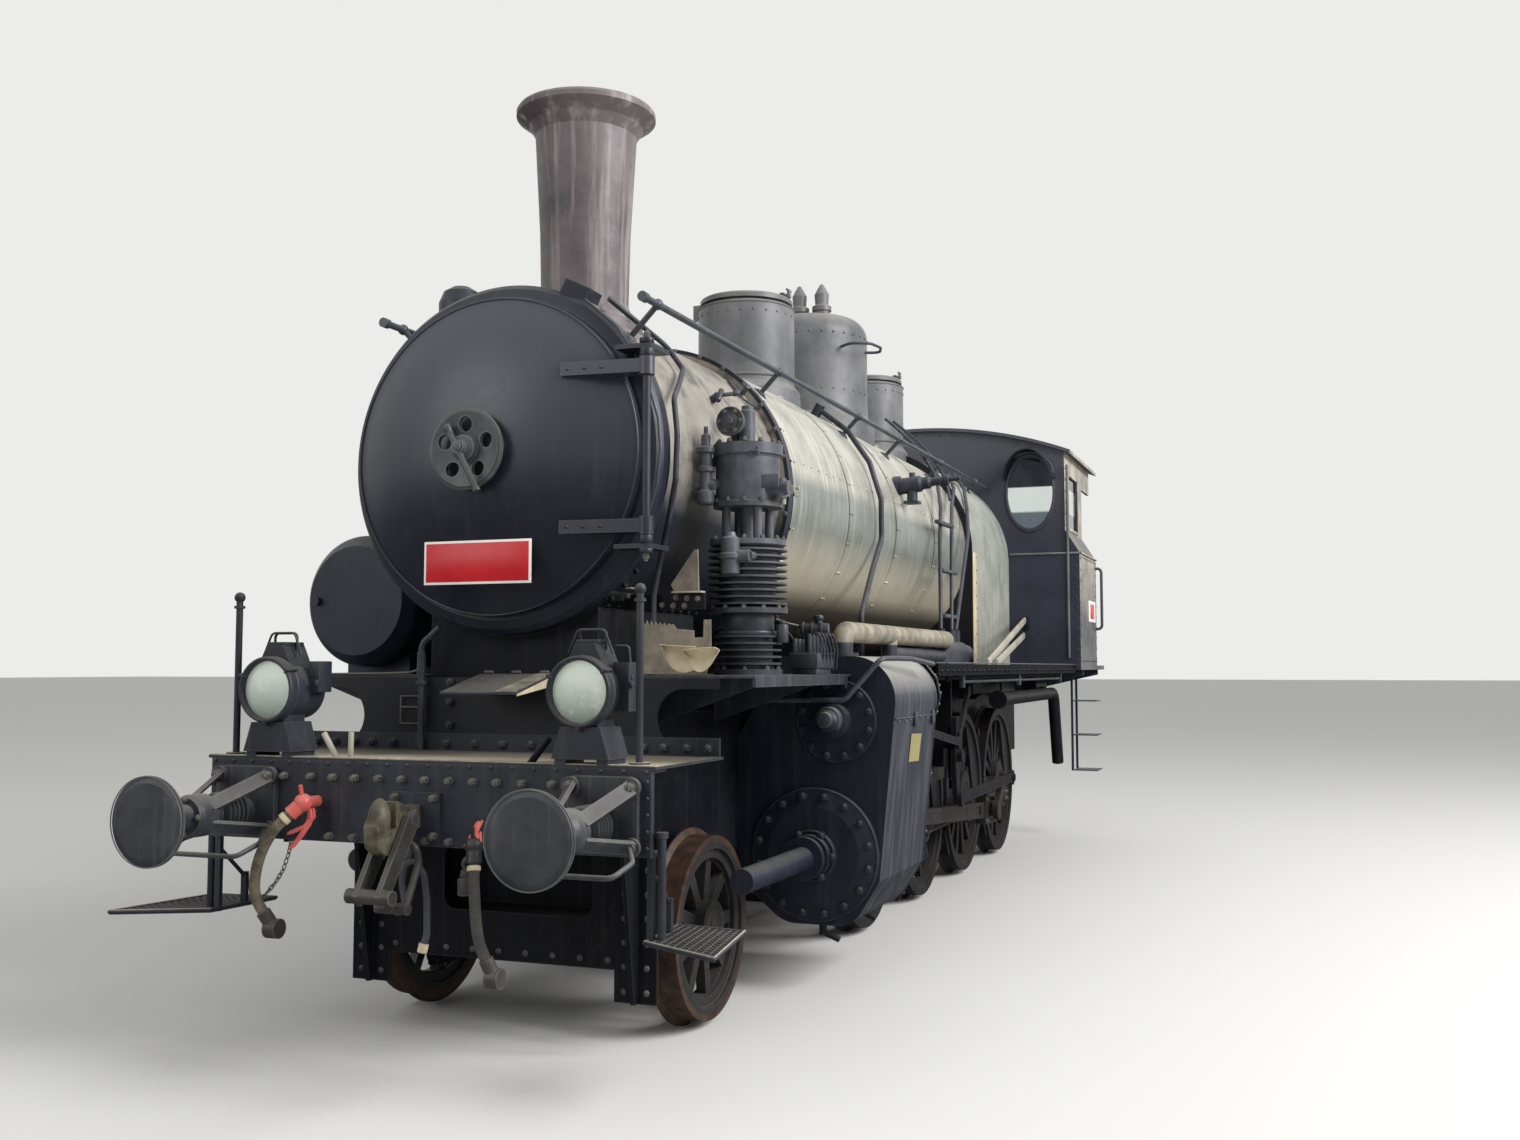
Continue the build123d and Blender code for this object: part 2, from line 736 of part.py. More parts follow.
def leaf_springs():
    """Laminated springs hung under the axle boxes, stepped leaves clamped by a buckle."""
    solids = []
    leaves = 6
    leaf = 13
    rows = [(y, coupled_radius, frame_bottom - 32) for y in coupled_stations]
    for y, axle, top in rows:
        stack = None
        for number in range(leaves):
            reach = 520 - 75 * number
            height = (top - 60 - leaf * (number + 1), top - 60 - leaf * number)
            part = block((frame_inner - 30, frame_outer + 30), (y - reach, y + reach), height)
            stack = part if stack is None else stack + part
        stack += block((frame_inner - 38, frame_outer + 38), (y - 55, y + 55),
                       (top - 70 - leaf * leaves, top))
        for end in (-1, 1):
            hanger = y + end * 490
            stack += rod((frame_inner + 15, hanger, top - 60), (frame_inner + 15, hanger, frame_bottom), 18)
        solids += both(stack)
    write("leaf_springs", solids)


def buffer_beam():
    """Front beam: a deep plate with turned flanges and end gussets."""
    end = beam_half_width - beam_end_inset
    beam = block((-end, end), (beam_y, beam_rear), (beam_bottom, deck_bottom))
    for z in ((beam_bottom, beam_bottom + 14), (deck_bottom - 14, deck_bottom)):
        for x in ((-end, -frame_outer), (-frame_inner, frame_inner), (frame_outer, end)):
            beam += block(x, (beam_rear, beam_rear + beam_flange), z)
    write("buffer_beam", beam)


def buffer_stocks():
    """Base plate and guide collar joined by four flat struts, with a grab bar bolted under them."""
    x = buffer_spacing / 2
    face = beam_y - buffer_base_thickness
    half = buffer_base_half
    low, high = buffer_base_middle - half + 2, buffer_base_middle + half
    corners = [(x - half, low), (x + half, low), (x + half, high), (x - half, high)]
    base = cross_plate(corners, (face, beam_y), {0: 38, 1: 38, 2: 38, 3: 38})
    collar_front = beam_y - buffer_stock_length
    collar = turned([(78, 0), (90, 20), (90, 100), (78, 112)], (x, collar_front, buffer_height), (0, 1, 0))
    collar_bore = rod((x, collar_front, buffer_height), (x, beam_y, buffer_height),
                      buffer_plunger_radius + pin_gap)
    stock = base + collar
    for across in (-1, 1):
        for up in (-1, 1):
            foot = Vector(x + across * buffer_strut_foot, face - buffer_strut_thickness / 2,
                          buffer_base_middle + up * buffer_strut_rise)
            head = Vector(x + across * 66, collar_front + 70, buffer_height + up * 44)
            broad = Vector(up, 0, -across)
            strap = Plane(origin=head, x_dir=broad, z_dir=foot - head).location * Box(
                buffer_strut_width, buffer_strut_thickness, (foot - head).length,
                align=(Align.CENTER, Align.CENTER, Align.MIN))
            stock += strap - block((0, 2 * x), (face, beam_y + 100), (0, deck_top))
            stock += rod((foot.X, face - buffer_strut_thickness, foot.Z), (foot.X, face, foot.Z), 38)
    stock -= collar_bore
    eye = buffer_base_middle - buffer_strut_rise
    grab_face = face - buffer_strut_thickness
    for end in (-1, 1):
        outer = x + end * buffer_strut_foot
        stock += rod((outer, grab_face - 22, eye), (outer, grab_face, eye), 24)
    sweep_out = buffer_strut_foot + 74
    grab = pipe(
        [(x + buffer_strut_foot, grab_face - 11, eye), (x + sweep_out, 430, eye - 38), (x + 170, 330, 880),
         (x - 170, 330, 880), (x - sweep_out, 430, eye - 38), (x - buffer_strut_foot, grab_face - 11, eye)],
        grab_bar_radius, 40,
    )
    write("buffer_stocks", both(stock + grab))


def buffer_plungers():
    """Buffer head, its plunger and a stack of spring discs behind the collar."""
    x = buffer_spacing / 2
    disc_gap = 26
    first_disc = beam_y - buffer_stock_length + 170
    profile = [
        (0, 0), (buffer_radius - 30, 5), (buffer_radius, 14), (buffer_radius, buffer_head_thickness),
        (buffer_flare[0], buffer_head_thickness + 12), (buffer_flare[1], buffer_flare_length),
        (buffer_plunger_radius, buffer_flare_length), (buffer_plunger_radius, beam_y - 22),
    ]
    plunger = turned(profile[1:], (x, 0, buffer_height), (0, 1, 0))
    plunger += turned([(buffer_radius - 30, 5), (60, 0)], (x, 0, buffer_height), (0, 1, 0))
    for number in range(5):
        y = first_disc + number * disc_gap
        plunger += turned([(60, 0), (88, 9), (60, 18)], (x, y, buffer_height), (0, 1, 0))
    write("buffer_plungers", both(plunger))


def draw_hook():
    """Hook forged in a flat bar, through a plate on the beam."""
    profile = [
        (hook_y + 40, hook_height - 45), (hook_y + 40, hook_height + 55), (hook_y - 10, hook_height + 80),
        (hook_y - 95, hook_height + 60), (hook_y - 150, hook_height - 10), (hook_y - 140, hook_height - 100),
        (hook_y - 75, hook_height - 140), (hook_y + 5, hook_height - 100),
    ]
    hook = side_plate(profile, (-32, 32), {2: 40, 3: 40, 4: 40, 5: 40, 6: 40})
    mouth = [(hook_y - 60, hook_height + 90), (hook_y - 95, hook_height + 10),
             (hook_y - 60, hook_height - 40), (hook_y - 20, hook_height - 30),
             (hook_y - 30, hook_height + 90)]
    hook -= side_plate(mouth, (-32, 32), {1: 30, 2: 25})
    shank = block((-32, 32), (hook_y + 30, beam_y), (hook_height - 45, hook_height + 50))
    hook += shank
    hook -= rod((-32, hook_pin_y, hook_height), (32, hook_pin_y, hook_height), hook_pin_radius + pin_gap)
    hook += block((-120, 120), (beam_y - 16, beam_y), (hook_height - 100, hook_height + 100))
    write("draw_hook", hook)


def coupling_links():
    """Screw coupling: side links on the hook's pin, cross trunnion, screw and long shackle."""
    trunnion_z = hook_height - 290
    trunnion_y = hook_y - 140
    solids = rod((-70, hook_pin_y, hook_height), (70, hook_pin_y, hook_height), hook_pin_radius)
    for side in (left, right):
        x = (side * 52 - 12, side * 52 + 12)
        link = side_plate(
            [(hook_pin_y + 26, hook_height - 30), (hook_pin_y + 10, hook_height + 36),
             (hook_pin_y - 36, hook_height + 20), (trunnion_y - 34, trunnion_z + 5),
             (trunnion_y, trunnion_z - 38), (trunnion_y + 36, trunnion_z - 10)],
            x,
        )
        solids += link
    solids += rod((-105, trunnion_y, trunnion_z), (105, trunnion_y, trunnion_z), 30)
    solids += rod((0, trunnion_y, trunnion_z), (0, trunnion_y + 190, trunnion_z - 85), 19)
    solids += rod((-75, trunnion_y + 150, trunnion_z - 67), (75, trunnion_y + 150, trunnion_z - 67), 24)
    bail = [(-62, trunnion_y + 150, trunnion_z - 67), (-62, trunnion_y + 240, trunnion_z + 110),
            (-62, trunnion_y + 215, trunnion_z + 190), (62, trunnion_y + 215, trunnion_z + 190),
            (62, trunnion_y + 240, trunnion_z + 110), (62, trunnion_y + 150, trunnion_z - 67)]
    solids += pipe(bail, 15, 45)
    write("coupling_links", solids)


def guard_irons():
    """Apron plate behind the beam, cut open in the middle, with a rail guard at each end."""
    outline = [
        (-800, beam_bottom), (800, beam_bottom), (800, 190), (590, 190), (590, 330),
        (-590, 330), (-590, 190), (-800, 190),
    ]
    apron = cross_plate(outline, (guard_y, guard_y + guard_thickness))
    opening = RectangleRounded(780, 300, 60)
    back = Plane(origin=(0, guard_y + guard_thickness, 0), x_dir=(1, 0, 0), z_dir=(0, -1, 0))
    apron -= back.location * Pos(90, 700) * extrude(opening, guard_thickness)
    for side in (left, right):
        x = (side * 695 - 10, side * 695 + 10)
        apron += side_plate(
            [(guard_y, 190), (guard_y, beam_bottom), (guard_y - 150, beam_bottom), (guard_y - 30, 190)],
            x,
        )
    for side in (left, right):
        web = (side * 695 - 10, side * 695 + 10)
        apron += block(web, (beam_rear, guard_y), (beam_bottom - 16, beam_bottom))
    write("guard_irons", apron)


def front_deck():
    """Foot plate over the beam, the upright plate behind it and the two flag posts."""
    deck = block((-beam_half_width, beam_half_width), (beam_y, front_plate_rear), (deck_bottom, deck_top))
    wing = 1084
    shape = [(-wing, deck_top), (wing, deck_top), (wing, board_bottom), (-wing, board_bottom)]
    plate = cross_plate(shape, (front_plate_y, front_plate_rear))
    for side in (left, right):
        x = side * wing_hole_x
        plate -= rod((x, front_plate_y, wing_hole_z), (x, front_plate_rear, wing_hole_z), wing_hole_radius)
        outside = sorted((x, side * (wing + 1)))
        plate -= block(outside, (front_plate_y, front_plate_rear),
                       (wing_hole_z - wing_hole_radius, wing_hole_z + wing_hole_radius))
    deck += plate
    deck += cross_plate([(-1090, deck_top), (1090, deck_top), (1090, deck_top + 80), (-1090, deck_top + 80)],
                        (front_plate_y - 12, front_plate_y))
    for side in (left, right):
        x = side * flag_post_x
        deck += rod((x, beam_y + 60, deck_bottom), (x, beam_y + 60, flag_post_top - 10), 15)
        deck += rod((x, beam_y + 60, flag_post_top - 50), (x, beam_y + 60, flag_post_top - 38), 24)
        deck += Pos(x, beam_y + 60, flag_post_top) * Sphere(24)
        deck += rod((x, beam_y + 60, deck_top), (x, beam_y + 60, deck_top + 12), 42)
    deck += side_plate([(flap_front, flap_front_z), (front_plate_y, flap_hinge_z),
                        (front_plate_y, flap_hinge_z - 8), (flap_front, flap_front_z - 8)], flap_x)
    write("front_deck", deck)


def front_steps():
    """Skewed treads inside a rim of round bar, hung under the beam's ends."""
    under = step_height - step_thickness
    step = flat_plate(step_corners, (under, step_height))
    for first, second in zip(step_corners, step_corners[1:] + step_corners[:1]):
        step += rod((*first, step_height), (*second, step_height), step_rim_radius)
        step += Pos(*first, step_height) * Sphere(step_rim_radius)
    hanger = block((1050, 1078), (beam_rear, beam_rear + 22), (under, beam_bottom))
    hanger += block((1050, 1078), (800, 822), (under, step_height + 140))
    hanger += rod((1064, beam_rear + 15, beam_bottom - 60), (1064, 811, step_height + 120), 9)
    post_y = beam_rear + 15
    post = rod((step_post_x, post_y, under), (step_post_x, post_y, 1005), step_post_radius)
    post += rod((step_post_x, post_y, 1000), (step_post_x, post_y, 1022), step_post_radius + 8)
    write("front_steps", both(step + hanger + post))


def headlamps():
    """Lamp bodies on tapered pedestals, with a ridge vent, carrying handle and number-slide box."""
    x = lamp_x
    y = (lamp_front, lamp_front + lamp_length)
    body = turned(
        [(glass_radius, 0), (lamp_radius, 0), (lamp_radius, 40), (lamp_radius - 12, 46),
         (lamp_radius - 12, lamp_length - 10), (lamp_radius - 24, lamp_length),
         (0, lamp_length), (0, 30), (glass_radius, 30)],
        (x, y[0], lamp_axis), (0, 1, 0), hollow=True,
    )
    ridge = cross_plate([(x - 88, lamp_axis + 96), (x + 88, lamp_axis + 96), (x + 66, lamp_axis + 150),
                         (x + 44, lamp_axis + 196), (x - 44, lamp_axis + 196), (x - 66, lamp_axis + 150)],
                        (y[0] + 55, y[1] - 50))
    handle = pipe([(x - 60, y[0] + 130, lamp_axis + 170), (x - 60, y[0] + 130, lamp_axis + 250),
                   (x + 60, y[0] + 130, lamp_axis + 250), (x + 60, y[0] + 130, lamp_axis + 170)], 6, 22)
    side_box = block((x + 100, x + 172), (y[0] + 110, y[1] - 15), (lamp_axis - 80, lamp_axis + 118))
    taper = [(x - 90, deck_top + 150), (x + 90, deck_top + 150), (x + 130, deck_top + 22),
             (x - 130, deck_top + 22)]
    stand = cross_plate(taper, (y[0] + 20, y[0] + 200))
    stand += block((x - 70, x + 70), (y[0] + 40, y[0] + 180), (deck_top + 150, lamp_axis))
    stand -= rod((x, y[0] - 1, lamp_axis), (x, y[1] + 1, lamp_axis), lamp_radius - 14)
    feet = block((x - 120, x - 70), (y[0] + 30, y[0] + 190), (deck_top, deck_top + 22))
    feet += block((x + 70, x + 120), (y[0] + 30, y[0] + 190), (deck_top, deck_top + 22))
    write("headlamps", both(body + ridge + handle + side_box + stand + feet))


def lamp_glasses():
    glass = turned([(glass_radius, 0), (glass_radius, 8)], (lamp_x, lamp_front + 22, lamp_axis), (0, 1, 0))
    write("lamp_glasses", both(glass))


def smokebox():
    """Hollow drum with a rounded front plate round the door opening and a tube plate behind."""
    shell = boiler_shell(smokebox_radius, (smokebox_front, barrel_front))
    shell -= boiler_shell(smokebox_radius - smokebox_wall, (smokebox_front, barrel_front - 40))
    shell += turned(
        [(door_opening_radius, -48), (760, -48), (800, -30), (front_ring_radius, 0),
         (front_ring_radius, front_ring_length), (smokebox_radius - smokebox_wall, front_ring_length),
         (smokebox_radius - smokebox_wall, 0), (750, -28), (door_opening_radius, -28)],
        (0, smokebox_front, boiler_axis), (0, 1, 0), hollow=True,
    )
    shell += turned([(smokebox_radius, 0), (855, 0), (855, 60), (smokebox_radius, 60)],
                    (0, barrel_front - 60, boiler_axis), (0, 1, 0), hollow=True)
    shell -= rod((0, chimney_y, boiler_axis), (0, chimney_y, smokebox_top + 50), chimney_bore)
    pot = turned([(112, smokebox_top - 260), (112, smokebox_top + 60), (88, smokebox_top + 118),
                  (44, smokebox_top + 145)], (-465, 1600, 0), (0, 0, 1))
    box = Pos(352, 1345, smokebox_top - 32) * Rot(0, 25, 12) * Box(130, 190, 84)
    for fitting in (pot, box):
        shell += fitting - boiler_shell(smokebox_radius - smokebox_wall / 2, (smokebox_front, barrel_front))
    reach = math.sqrt(front_ring_radius ** 2 - (door_strap_rise + 90) ** 2)
    for up in (-1, 1):
        z = boiler_axis + up * (door_strap_rise + 90)
        shell += block((reach - 40, door_hinge_x + 30), (door_hinge_y - 22, smokebox_front + 40),
                       (z - 10, z + 10))
    shell += rod((door_hinge_x, door_hinge_y, boiler_axis - door_strap_rise - 106),
                 (door_hinge_x, door_hinge_y, boiler_axis + door_strap_rise + 106), door_pin_radius)
    write("smokebox", shell)


def smokebox_door():
    """Dished door with a stepped rim and two hinge straps."""
    rise = door_rim_y - door_front_y
    crown = door_rim_radius - 51
    lip = rise - 22
    sphere = (crown ** 2 + lip ** 2) / (2 * lip)

    def dish(reach, radius):
        return reach, sphere - math.sqrt(radius ** 2 - reach ** 2)

    inside = sphere - door_thickness
    inner_reach = crown - 12
    outer = ThreePointArc(dish(0, sphere), dish(crown / 2, sphere), dish(crown, sphere))
    inner = ThreePointArc(dish(inner_reach, inside), dish(inner_reach / 2, inside), dish(0, inside))
    rim = Polyline(dish(crown, sphere), (door_rim_radius, rise), (door_rim_radius, rise + 40),
                   (inner_reach, rise + 40), dish(inner_reach, inside))
    close = Line(dish(0, inside), dish(0, sphere))
    face = make_face([outer, rim, inner, close])
    door = Plane(origin=(0, door_front_y, boiler_axis), z_dir=(0, 1, 0)).location * Rot(90, 0, 0) * revolve(
        face, Axis.Y)
    for up in (-1, 1):
        z = boiler_axis + up * door_strap_rise
        strap = flat_plate(
            [(door_strap_tip, door_rim_y - 114), (door_hinge_x, door_hinge_y - 30),
             (door_hinge_x, door_hinge_y + 30), (690, door_rim_y + 10), (560, door_rim_y - 10),
             (door_strap_tip, door_rim_y - 70)],
            (z - 30, z + 30),
        )
        strap += rod((door_hinge_x, door_hinge_y, z - 40), (door_hinge_x, door_hinge_y, z + 40), 36)
        strap -= rod((door_hinge_x, door_hinge_y, z - 50), (door_hinge_x, door_hinge_y, z + 50),
                     door_pin_radius + pin_gap)
        door += strap
    write("smokebox_door", door)


def door_handwheel():
    """Pierced wheel on the door's centre spindle, with a lever handle in front."""
    centre = (0, door_front_y, boiler_axis)
    wheel_disc = turned([(40, 0), (40, 26), (185, 34), (185, 52), (170, 60), (60, 46), (60, 80), (30, 92)],
                        centre, (0, -1, 0))
    for number in range(5):
        y, z = polar(112, 90 + number * 72)
        hole = boiler_axis + z
        wheel_disc -= rod((y, door_front_y - 20, hole), (y, door_front_y - 62, hole), 34)
    lever = rod((-60, door_front_y - 86, boiler_axis + 70), (95, door_front_y - 110, boiler_axis - 190), 14)
    boss = rod((0, door_front_y - 60, boiler_axis), (0, door_front_y - 118, boiler_axis), 30)
    write("door_handwheel", wheel_disc + lever + boss)


def smokebox_saddle():
    """Casting between the frame plates with a bolted flange under the smokebox."""
    y = (smokebox_front + front_ring_length + 27, 2450)
    body = cross_plate(
        [(-frame_inner, saddle_bottom), (frame_inner, saddle_bottom), (frame_inner, frame_top), (450, 1560),
         (450, boiler_axis), (-450, boiler_axis), (-450, 1560), (-frame_inner, frame_top)],
        y,
    )
    flange = boiler_shell(smokebox_radius + 32, (y[0] - 20, y[1] + 20))
    flange &= block((-500, 500), (y[0] - 20, y[1] + 20), (1500, boiler_axis))
    flange -= boiler_shell(smokebox_radius, (y[0] - 30, y[1] + 30))
    body -= boiler_shell(smokebox_radius, (y[0] - 30, y[1] + 30))
    write("smokebox_saddle", body + flange)


def chimney():
    """Tapered stack with a flared lip, on a saddle that fits the smokebox."""
    stack = turned(
        [(310, smokebox_top - 60), (300, smokebox_top + 12), (252, smokebox_top + 50),
         (chimney_foot_radius, smokebox_top + 110), (chimney_foot_radius + 9, 3944),
         (chimney_neck_radius, 4458), (300, 4512), (chimney_lip_radius, 4560), (chimney_lip_radius, 4585),
         (chimney_lip_radius - 10, chimney_top), (chimney_bore + 45, chimney_top),
         (chimney_bore, smokebox_top + 150), (chimney_bore, smokebox_top - 60)],
        (0, chimney_y, 0), (0, 0, 1), hollow=True,
    )
    stack -= boiler_shell(smokebox_radius, (chimney_y - 400, chimney_y + 400))
    write("chimney", stack)


def barrel_form():
    """Lagged barrel with raised bands over the joints of its sheets."""
    barrel = boiler_shell(barrel_radius, (barrel_front, firebox_front))
    step = (firebox_front - barrel_front) / band_count
    for number in range(band_count):
        y = barrel_front + number * step + (0 if number else 30)
        barrel += boiler_shell(barrel_radius + band_height, (y, y + band_width))
    return barrel


def firebox_form():
    """Firebox casing with a round top, seated on the frame plates."""
    casing = firebox_shell(firebox_half_width, (firebox_front, firebox_rear), frame_top)
    casing += firebox_shell(firebox_half_width + band_height, (firebox_front, firebox_front + band_width),
                            rear_board_top)
    return casing


def boiler_form():
    """Outer form of smokebox, barrel and firebox together, for the pieces that seat on them."""
    return boiler_shell(smokebox_radius, (smokebox_front, barrel_front)) + barrel_form() + firebox_form()


def boiler():
    write("boiler_barrel", barrel_form())
    write("firebox", firebox_form())


def ashpan():
    """Hopper under the grate, between the frame plates and the last two axles."""
    y = (driven_y + axle_radius + 80, last_coupled_y - axle_radius - 80)
    outline = [(y[0], frame_top), (y[1], frame_top), (y[1] - 120, 720), (y[0] + 120, 720)]
    pan = side_plate(outline, (-480, 480))
    write("ashpan", pan)


def sand_domes():
    """Two sand domes with lid seats; each fits the boiler below it."""
    form = boiler_form()
    solids = []
    for y, radius, top, hinge in sand_dome_rows:
        dome = turned(
            [(radius + 45, boiler_axis + 700), (radius + 38, boiler_axis + barrel_radius + 20),
             (radius, boiler_axis + barrel_radius + 70), (radius, top - 90), (radius - 30, top - 60),
             (radius - 60, top - 52)],
            (0, y, 0), (0, 0, 1),
        )
        dome -= form
        for end in (-1, 1):
            ear_y = y + end * 50
            dome += block((hinge - 22, -radius + 8), (ear_y - 10, ear_y + 10), (top - 130, top - 22))
        dome += rod((hinge, y - 60, top - 40), (hinge, y + 60, top - 40), lid_pin_radius)
        solids.append(dome)
    write("sand_domes", solids)


def sand_lids():
    """Round lids with a clamp bar, hinged on the far side."""
    for name, (y, radius, top, hinge) in zip(("front", "rear"), sand_dome_rows):
        lid = turned([(radius - 12, top - 50), (radius - 12, top - 24), (radius - 60, top - 6), (40, top)],
                     (0, y, 0), (0, 0, 1))
        lid += block((hinge, 0), (y - 24, y + 24), (top - 50, top - 30))
        lid += rod((hinge, y - 32, top - 40), (hinge, y + 32, top - 40), 20)
        lid += block((-radius + 30, radius - 8), (y - 20, y + 20), (top - 12, top + 12))
        lid -= rod((hinge, y - 40, top - 40), (hinge, y + 40, top - 40), lid_pin_radius + pin_gap)
        write(f"sand_lid_{name}", lid)


def steam_dome():
    """Tall dome with a flared skirt and a rounded crown."""
    top = steam_dome_top
    dome = turned(
        [(steam_dome_radius + 56, boiler_axis + 600),
         (steam_dome_radius + 56, boiler_axis + barrel_radius + 4),
         (steam_dome_radius + 8, boiler_axis + barrel_radius + 70), (steam_dome_radius, boiler_axis + 1050),
         (steam_dome_radius, top - 20), (60, top)],
        (0, steam_dome_y, 0), (0, 0, 1), {4: 160},
    )
    dome -= boiler_form()
    write("steam_dome", dome)


def safety_valves():
    """Pair of spring valves on the steam dome's crown."""
    solids = []
    for side in (left, right):
        valve = turned(
            [(62, steam_dome_top - 60), (62, steam_dome_top + 60), (74, steam_dome_top + 60),
             (74, steam_dome_top + 95), (50, steam_dome_top + 110), (56, steam_dome_top + 190),
             (30, valve_top - 30), (12, valve_top)],
            (side * valve_offset, steam_dome_y, 0), (0, 0, 1),
        )
        valve -= turned([(steam_dome_radius, steam_dome_top - 300), (steam_dome_radius, steam_dome_top - 20),
                         (60, steam_dome_top)], (0, steam_dome_y, 0), (0, 0, 1), {1: 160})
        solids.append(valve)
    write("safety_valves", solids)


def running_boards():
    """Foot plates along both sides with valances and gussets on the frame plates."""
    front = block((470, 1250), (front_plate_y, cylinder_front), (board_bottom, front_board_top))
    front += block((1236, 1250), (front_plate_rear, cylinder_front - 60), (board_bottom - 40, board_bottom))
    for y in (1500, 2350):
        front += cross_plate(
            [(frame_outer, frame_top - 60), (frame_outer, board_bottom), (1200, board_bottom),
             (1200, board_bottom - 30)],
            (y, y + 16),
        )
    edge = rear_board_half_width
    rear = block((frame_outer + 25, edge), (cylinder_rear, firebox_front),
                 (rear_board_bottom, rear_board_top))
    rear += block((firebox_half_width + band_height, edge), (firebox_front, cab_front),
                  (rear_board_bottom, rear_board_top))
    rear += block((edge - 12, edge), (cylinder_rear, cab_front),
                  (rear_board_top - valance_depth, rear_board_bottom))
    for y in (3800, 6650, 8050):
        rear += cross_plate(
            [(frame_outer, frame_top - 60), (frame_outer, rear_board_bottom), (edge - 20, rear_board_bottom),
             (edge - 20, rear_board_bottom - 40), (frame_outer + 420, rear_board_bottom - 60),
             (frame_outer + 120, frame_top - 60)],
            (y, y + 16),
        )
    rear -= firebox_shell(firebox_half_width + band_height, (firebox_front, firebox_rear), frame_top)
    write("running_boards", both(front) + both(rear))


def handrails():
    """Long rails on stanchions down both sides of the boiler, and cab grab rails."""
    form = boiler_form()
    front = (handrail_x, handrail_front, handrail_z)
    rail = rod(front, (handrail_x, handrail_rear, handrail_z), handrail_radius)
    rail += rod(front, (handrail_x, handrail_front + 40, handrail_z), handrail_radius + 7)
    for y in handrail_posts:
        post = rod((0, y, boiler_axis), (handrail_x, y, handrail_z), 14)
        rail += post - form
        rail += Pos(handrail_x, y, handrail_z) * Sphere(27)
    x = (cab_lower_half_width - 5, cab_lower_half_width + 60)
    y = cab_rear - 560
    z = (2050, 2650)
    cab_rail = pipe([(x[0], y, z[0]), (x[1], y, z[0]), (x[1], y, z[1]), (x[0], y, z[1])], 14, 40)
    cab_rail -= cross_plate(cab_outline(0), (cab_front, cab_rear + 100))
    write("handrails", both(rail) + both(cab_rail))


def cab_outline(inset):
    """Outline of the cab's cross-section up to the roof, inset by a wall."""
    low = cab_lower_half_width - inset
    high = cab_upper_half_width - inset
    half = [(low, rear_board_top), (low, cab_ledge_bottom), (high, cab_ledge_top), (high, cab_eave)]
    return half + [(-x, z) for x, z in reversed(half)]


def roof_arc(rise):
    """Circle sector under the roof: centre height and radius for the eave and crown."""
    half = cab_upper_half_width
    height = cab_crown - cab_eave
    radius = (half ** 2 + height ** 2) / (2 * height)
    return cab_crown - radius, radius + rise


def under_roof(y):
    """Segment between the eaves and the roof's underside."""
    centre, radius = roof_arc(0)
    drum = rod((0, y[0], centre), (0, y[1], centre), radius)
    return drum & block((-cab_upper_half_width, cab_upper_half_width), y, (cab_eave, cab_crown + 1))


def cab_front_wall():
    """Front sheet with an opening for the firebox and two oval windows with visors."""
    y = (cab_front, cab_front + cab_wall)
    wall = cross_plate(cab_outline(0), y) + under_roof(y)
    wall -= firebox_shell(firebox_half_width, (y[0], y[1]), frame_top)
    for side in (left, right):
        wall -= oval_window(side, y)
        wall += visor(side)
    write("cab_front", wall)


def oval_window(side, y):
    back = Plane(origin=(0, y[1], 0), x_dir=(1, 0, 0), z_dir=(0, -1, 0))
    return back.location * Pos(side * window_x, window_z) * extrude(Ellipse(*window_half), y[1] - y[0])


def visor(side):
    """Arched hood over the upper part of an oval window."""
    hood = Ellipse(*visor_half) - Ellipse(*[half - visor_thickness for half in visor_half])
    hood &= Pos(0, visor_half[1]) * Rectangle(4 * visor_half[0], 2 * visor_half[1])
    front = Plane(origin=(0, cab_front, 0), x_dir=(1, 0, 0), z_dir=(0, -1, 0))
    return front.location * Pos(side * window_x, visor_z) * extrude(hood, visor_reach)


def cab_sides():
    """Side sheets with the ledge, a window each and a doorway at the rear."""
    y = (cab_front + cab_wall, cab_rear)
    shell = cross_plate(cab_outline(0), y) - cross_plate(
        [(x, z) for x, z in cab_outline(cab_wall)], y)
    shell -= block((-2000, 2000), y, (rear_board_top - 1, rear_board_top))
    inside = cab_upper_half_width - cab_wall
    shell -= block((-inside, inside), y, (cab_eave - 40, cab_eave + 10))
    shell -= block((-2000, 2000), side_window_y, side_window_z)
    shell -= block((-2000, 2000), (doorway_y, cab_rear), (rear_board_top, 3450))
    write("cab_sides", shell)


def cab_roof():
    """Curved roof sheet over the cab with a small overhang."""
    y = (cab_front - 40, overall_length)
    centre, radius = roof_arc(0)
    outer = rod((0, y[0], centre), (0, y[1], centre), radius + roof_thickness)
    inner = rod((0, y[0], centre), (0, y[1], centre), radius)
    half = cab_upper_half_width + roof_overhang
    roof = (outer - inner) & block((-half, half), y, (cab_eave - 100, cab_crown + 100))
    write("cab_roof", roof)


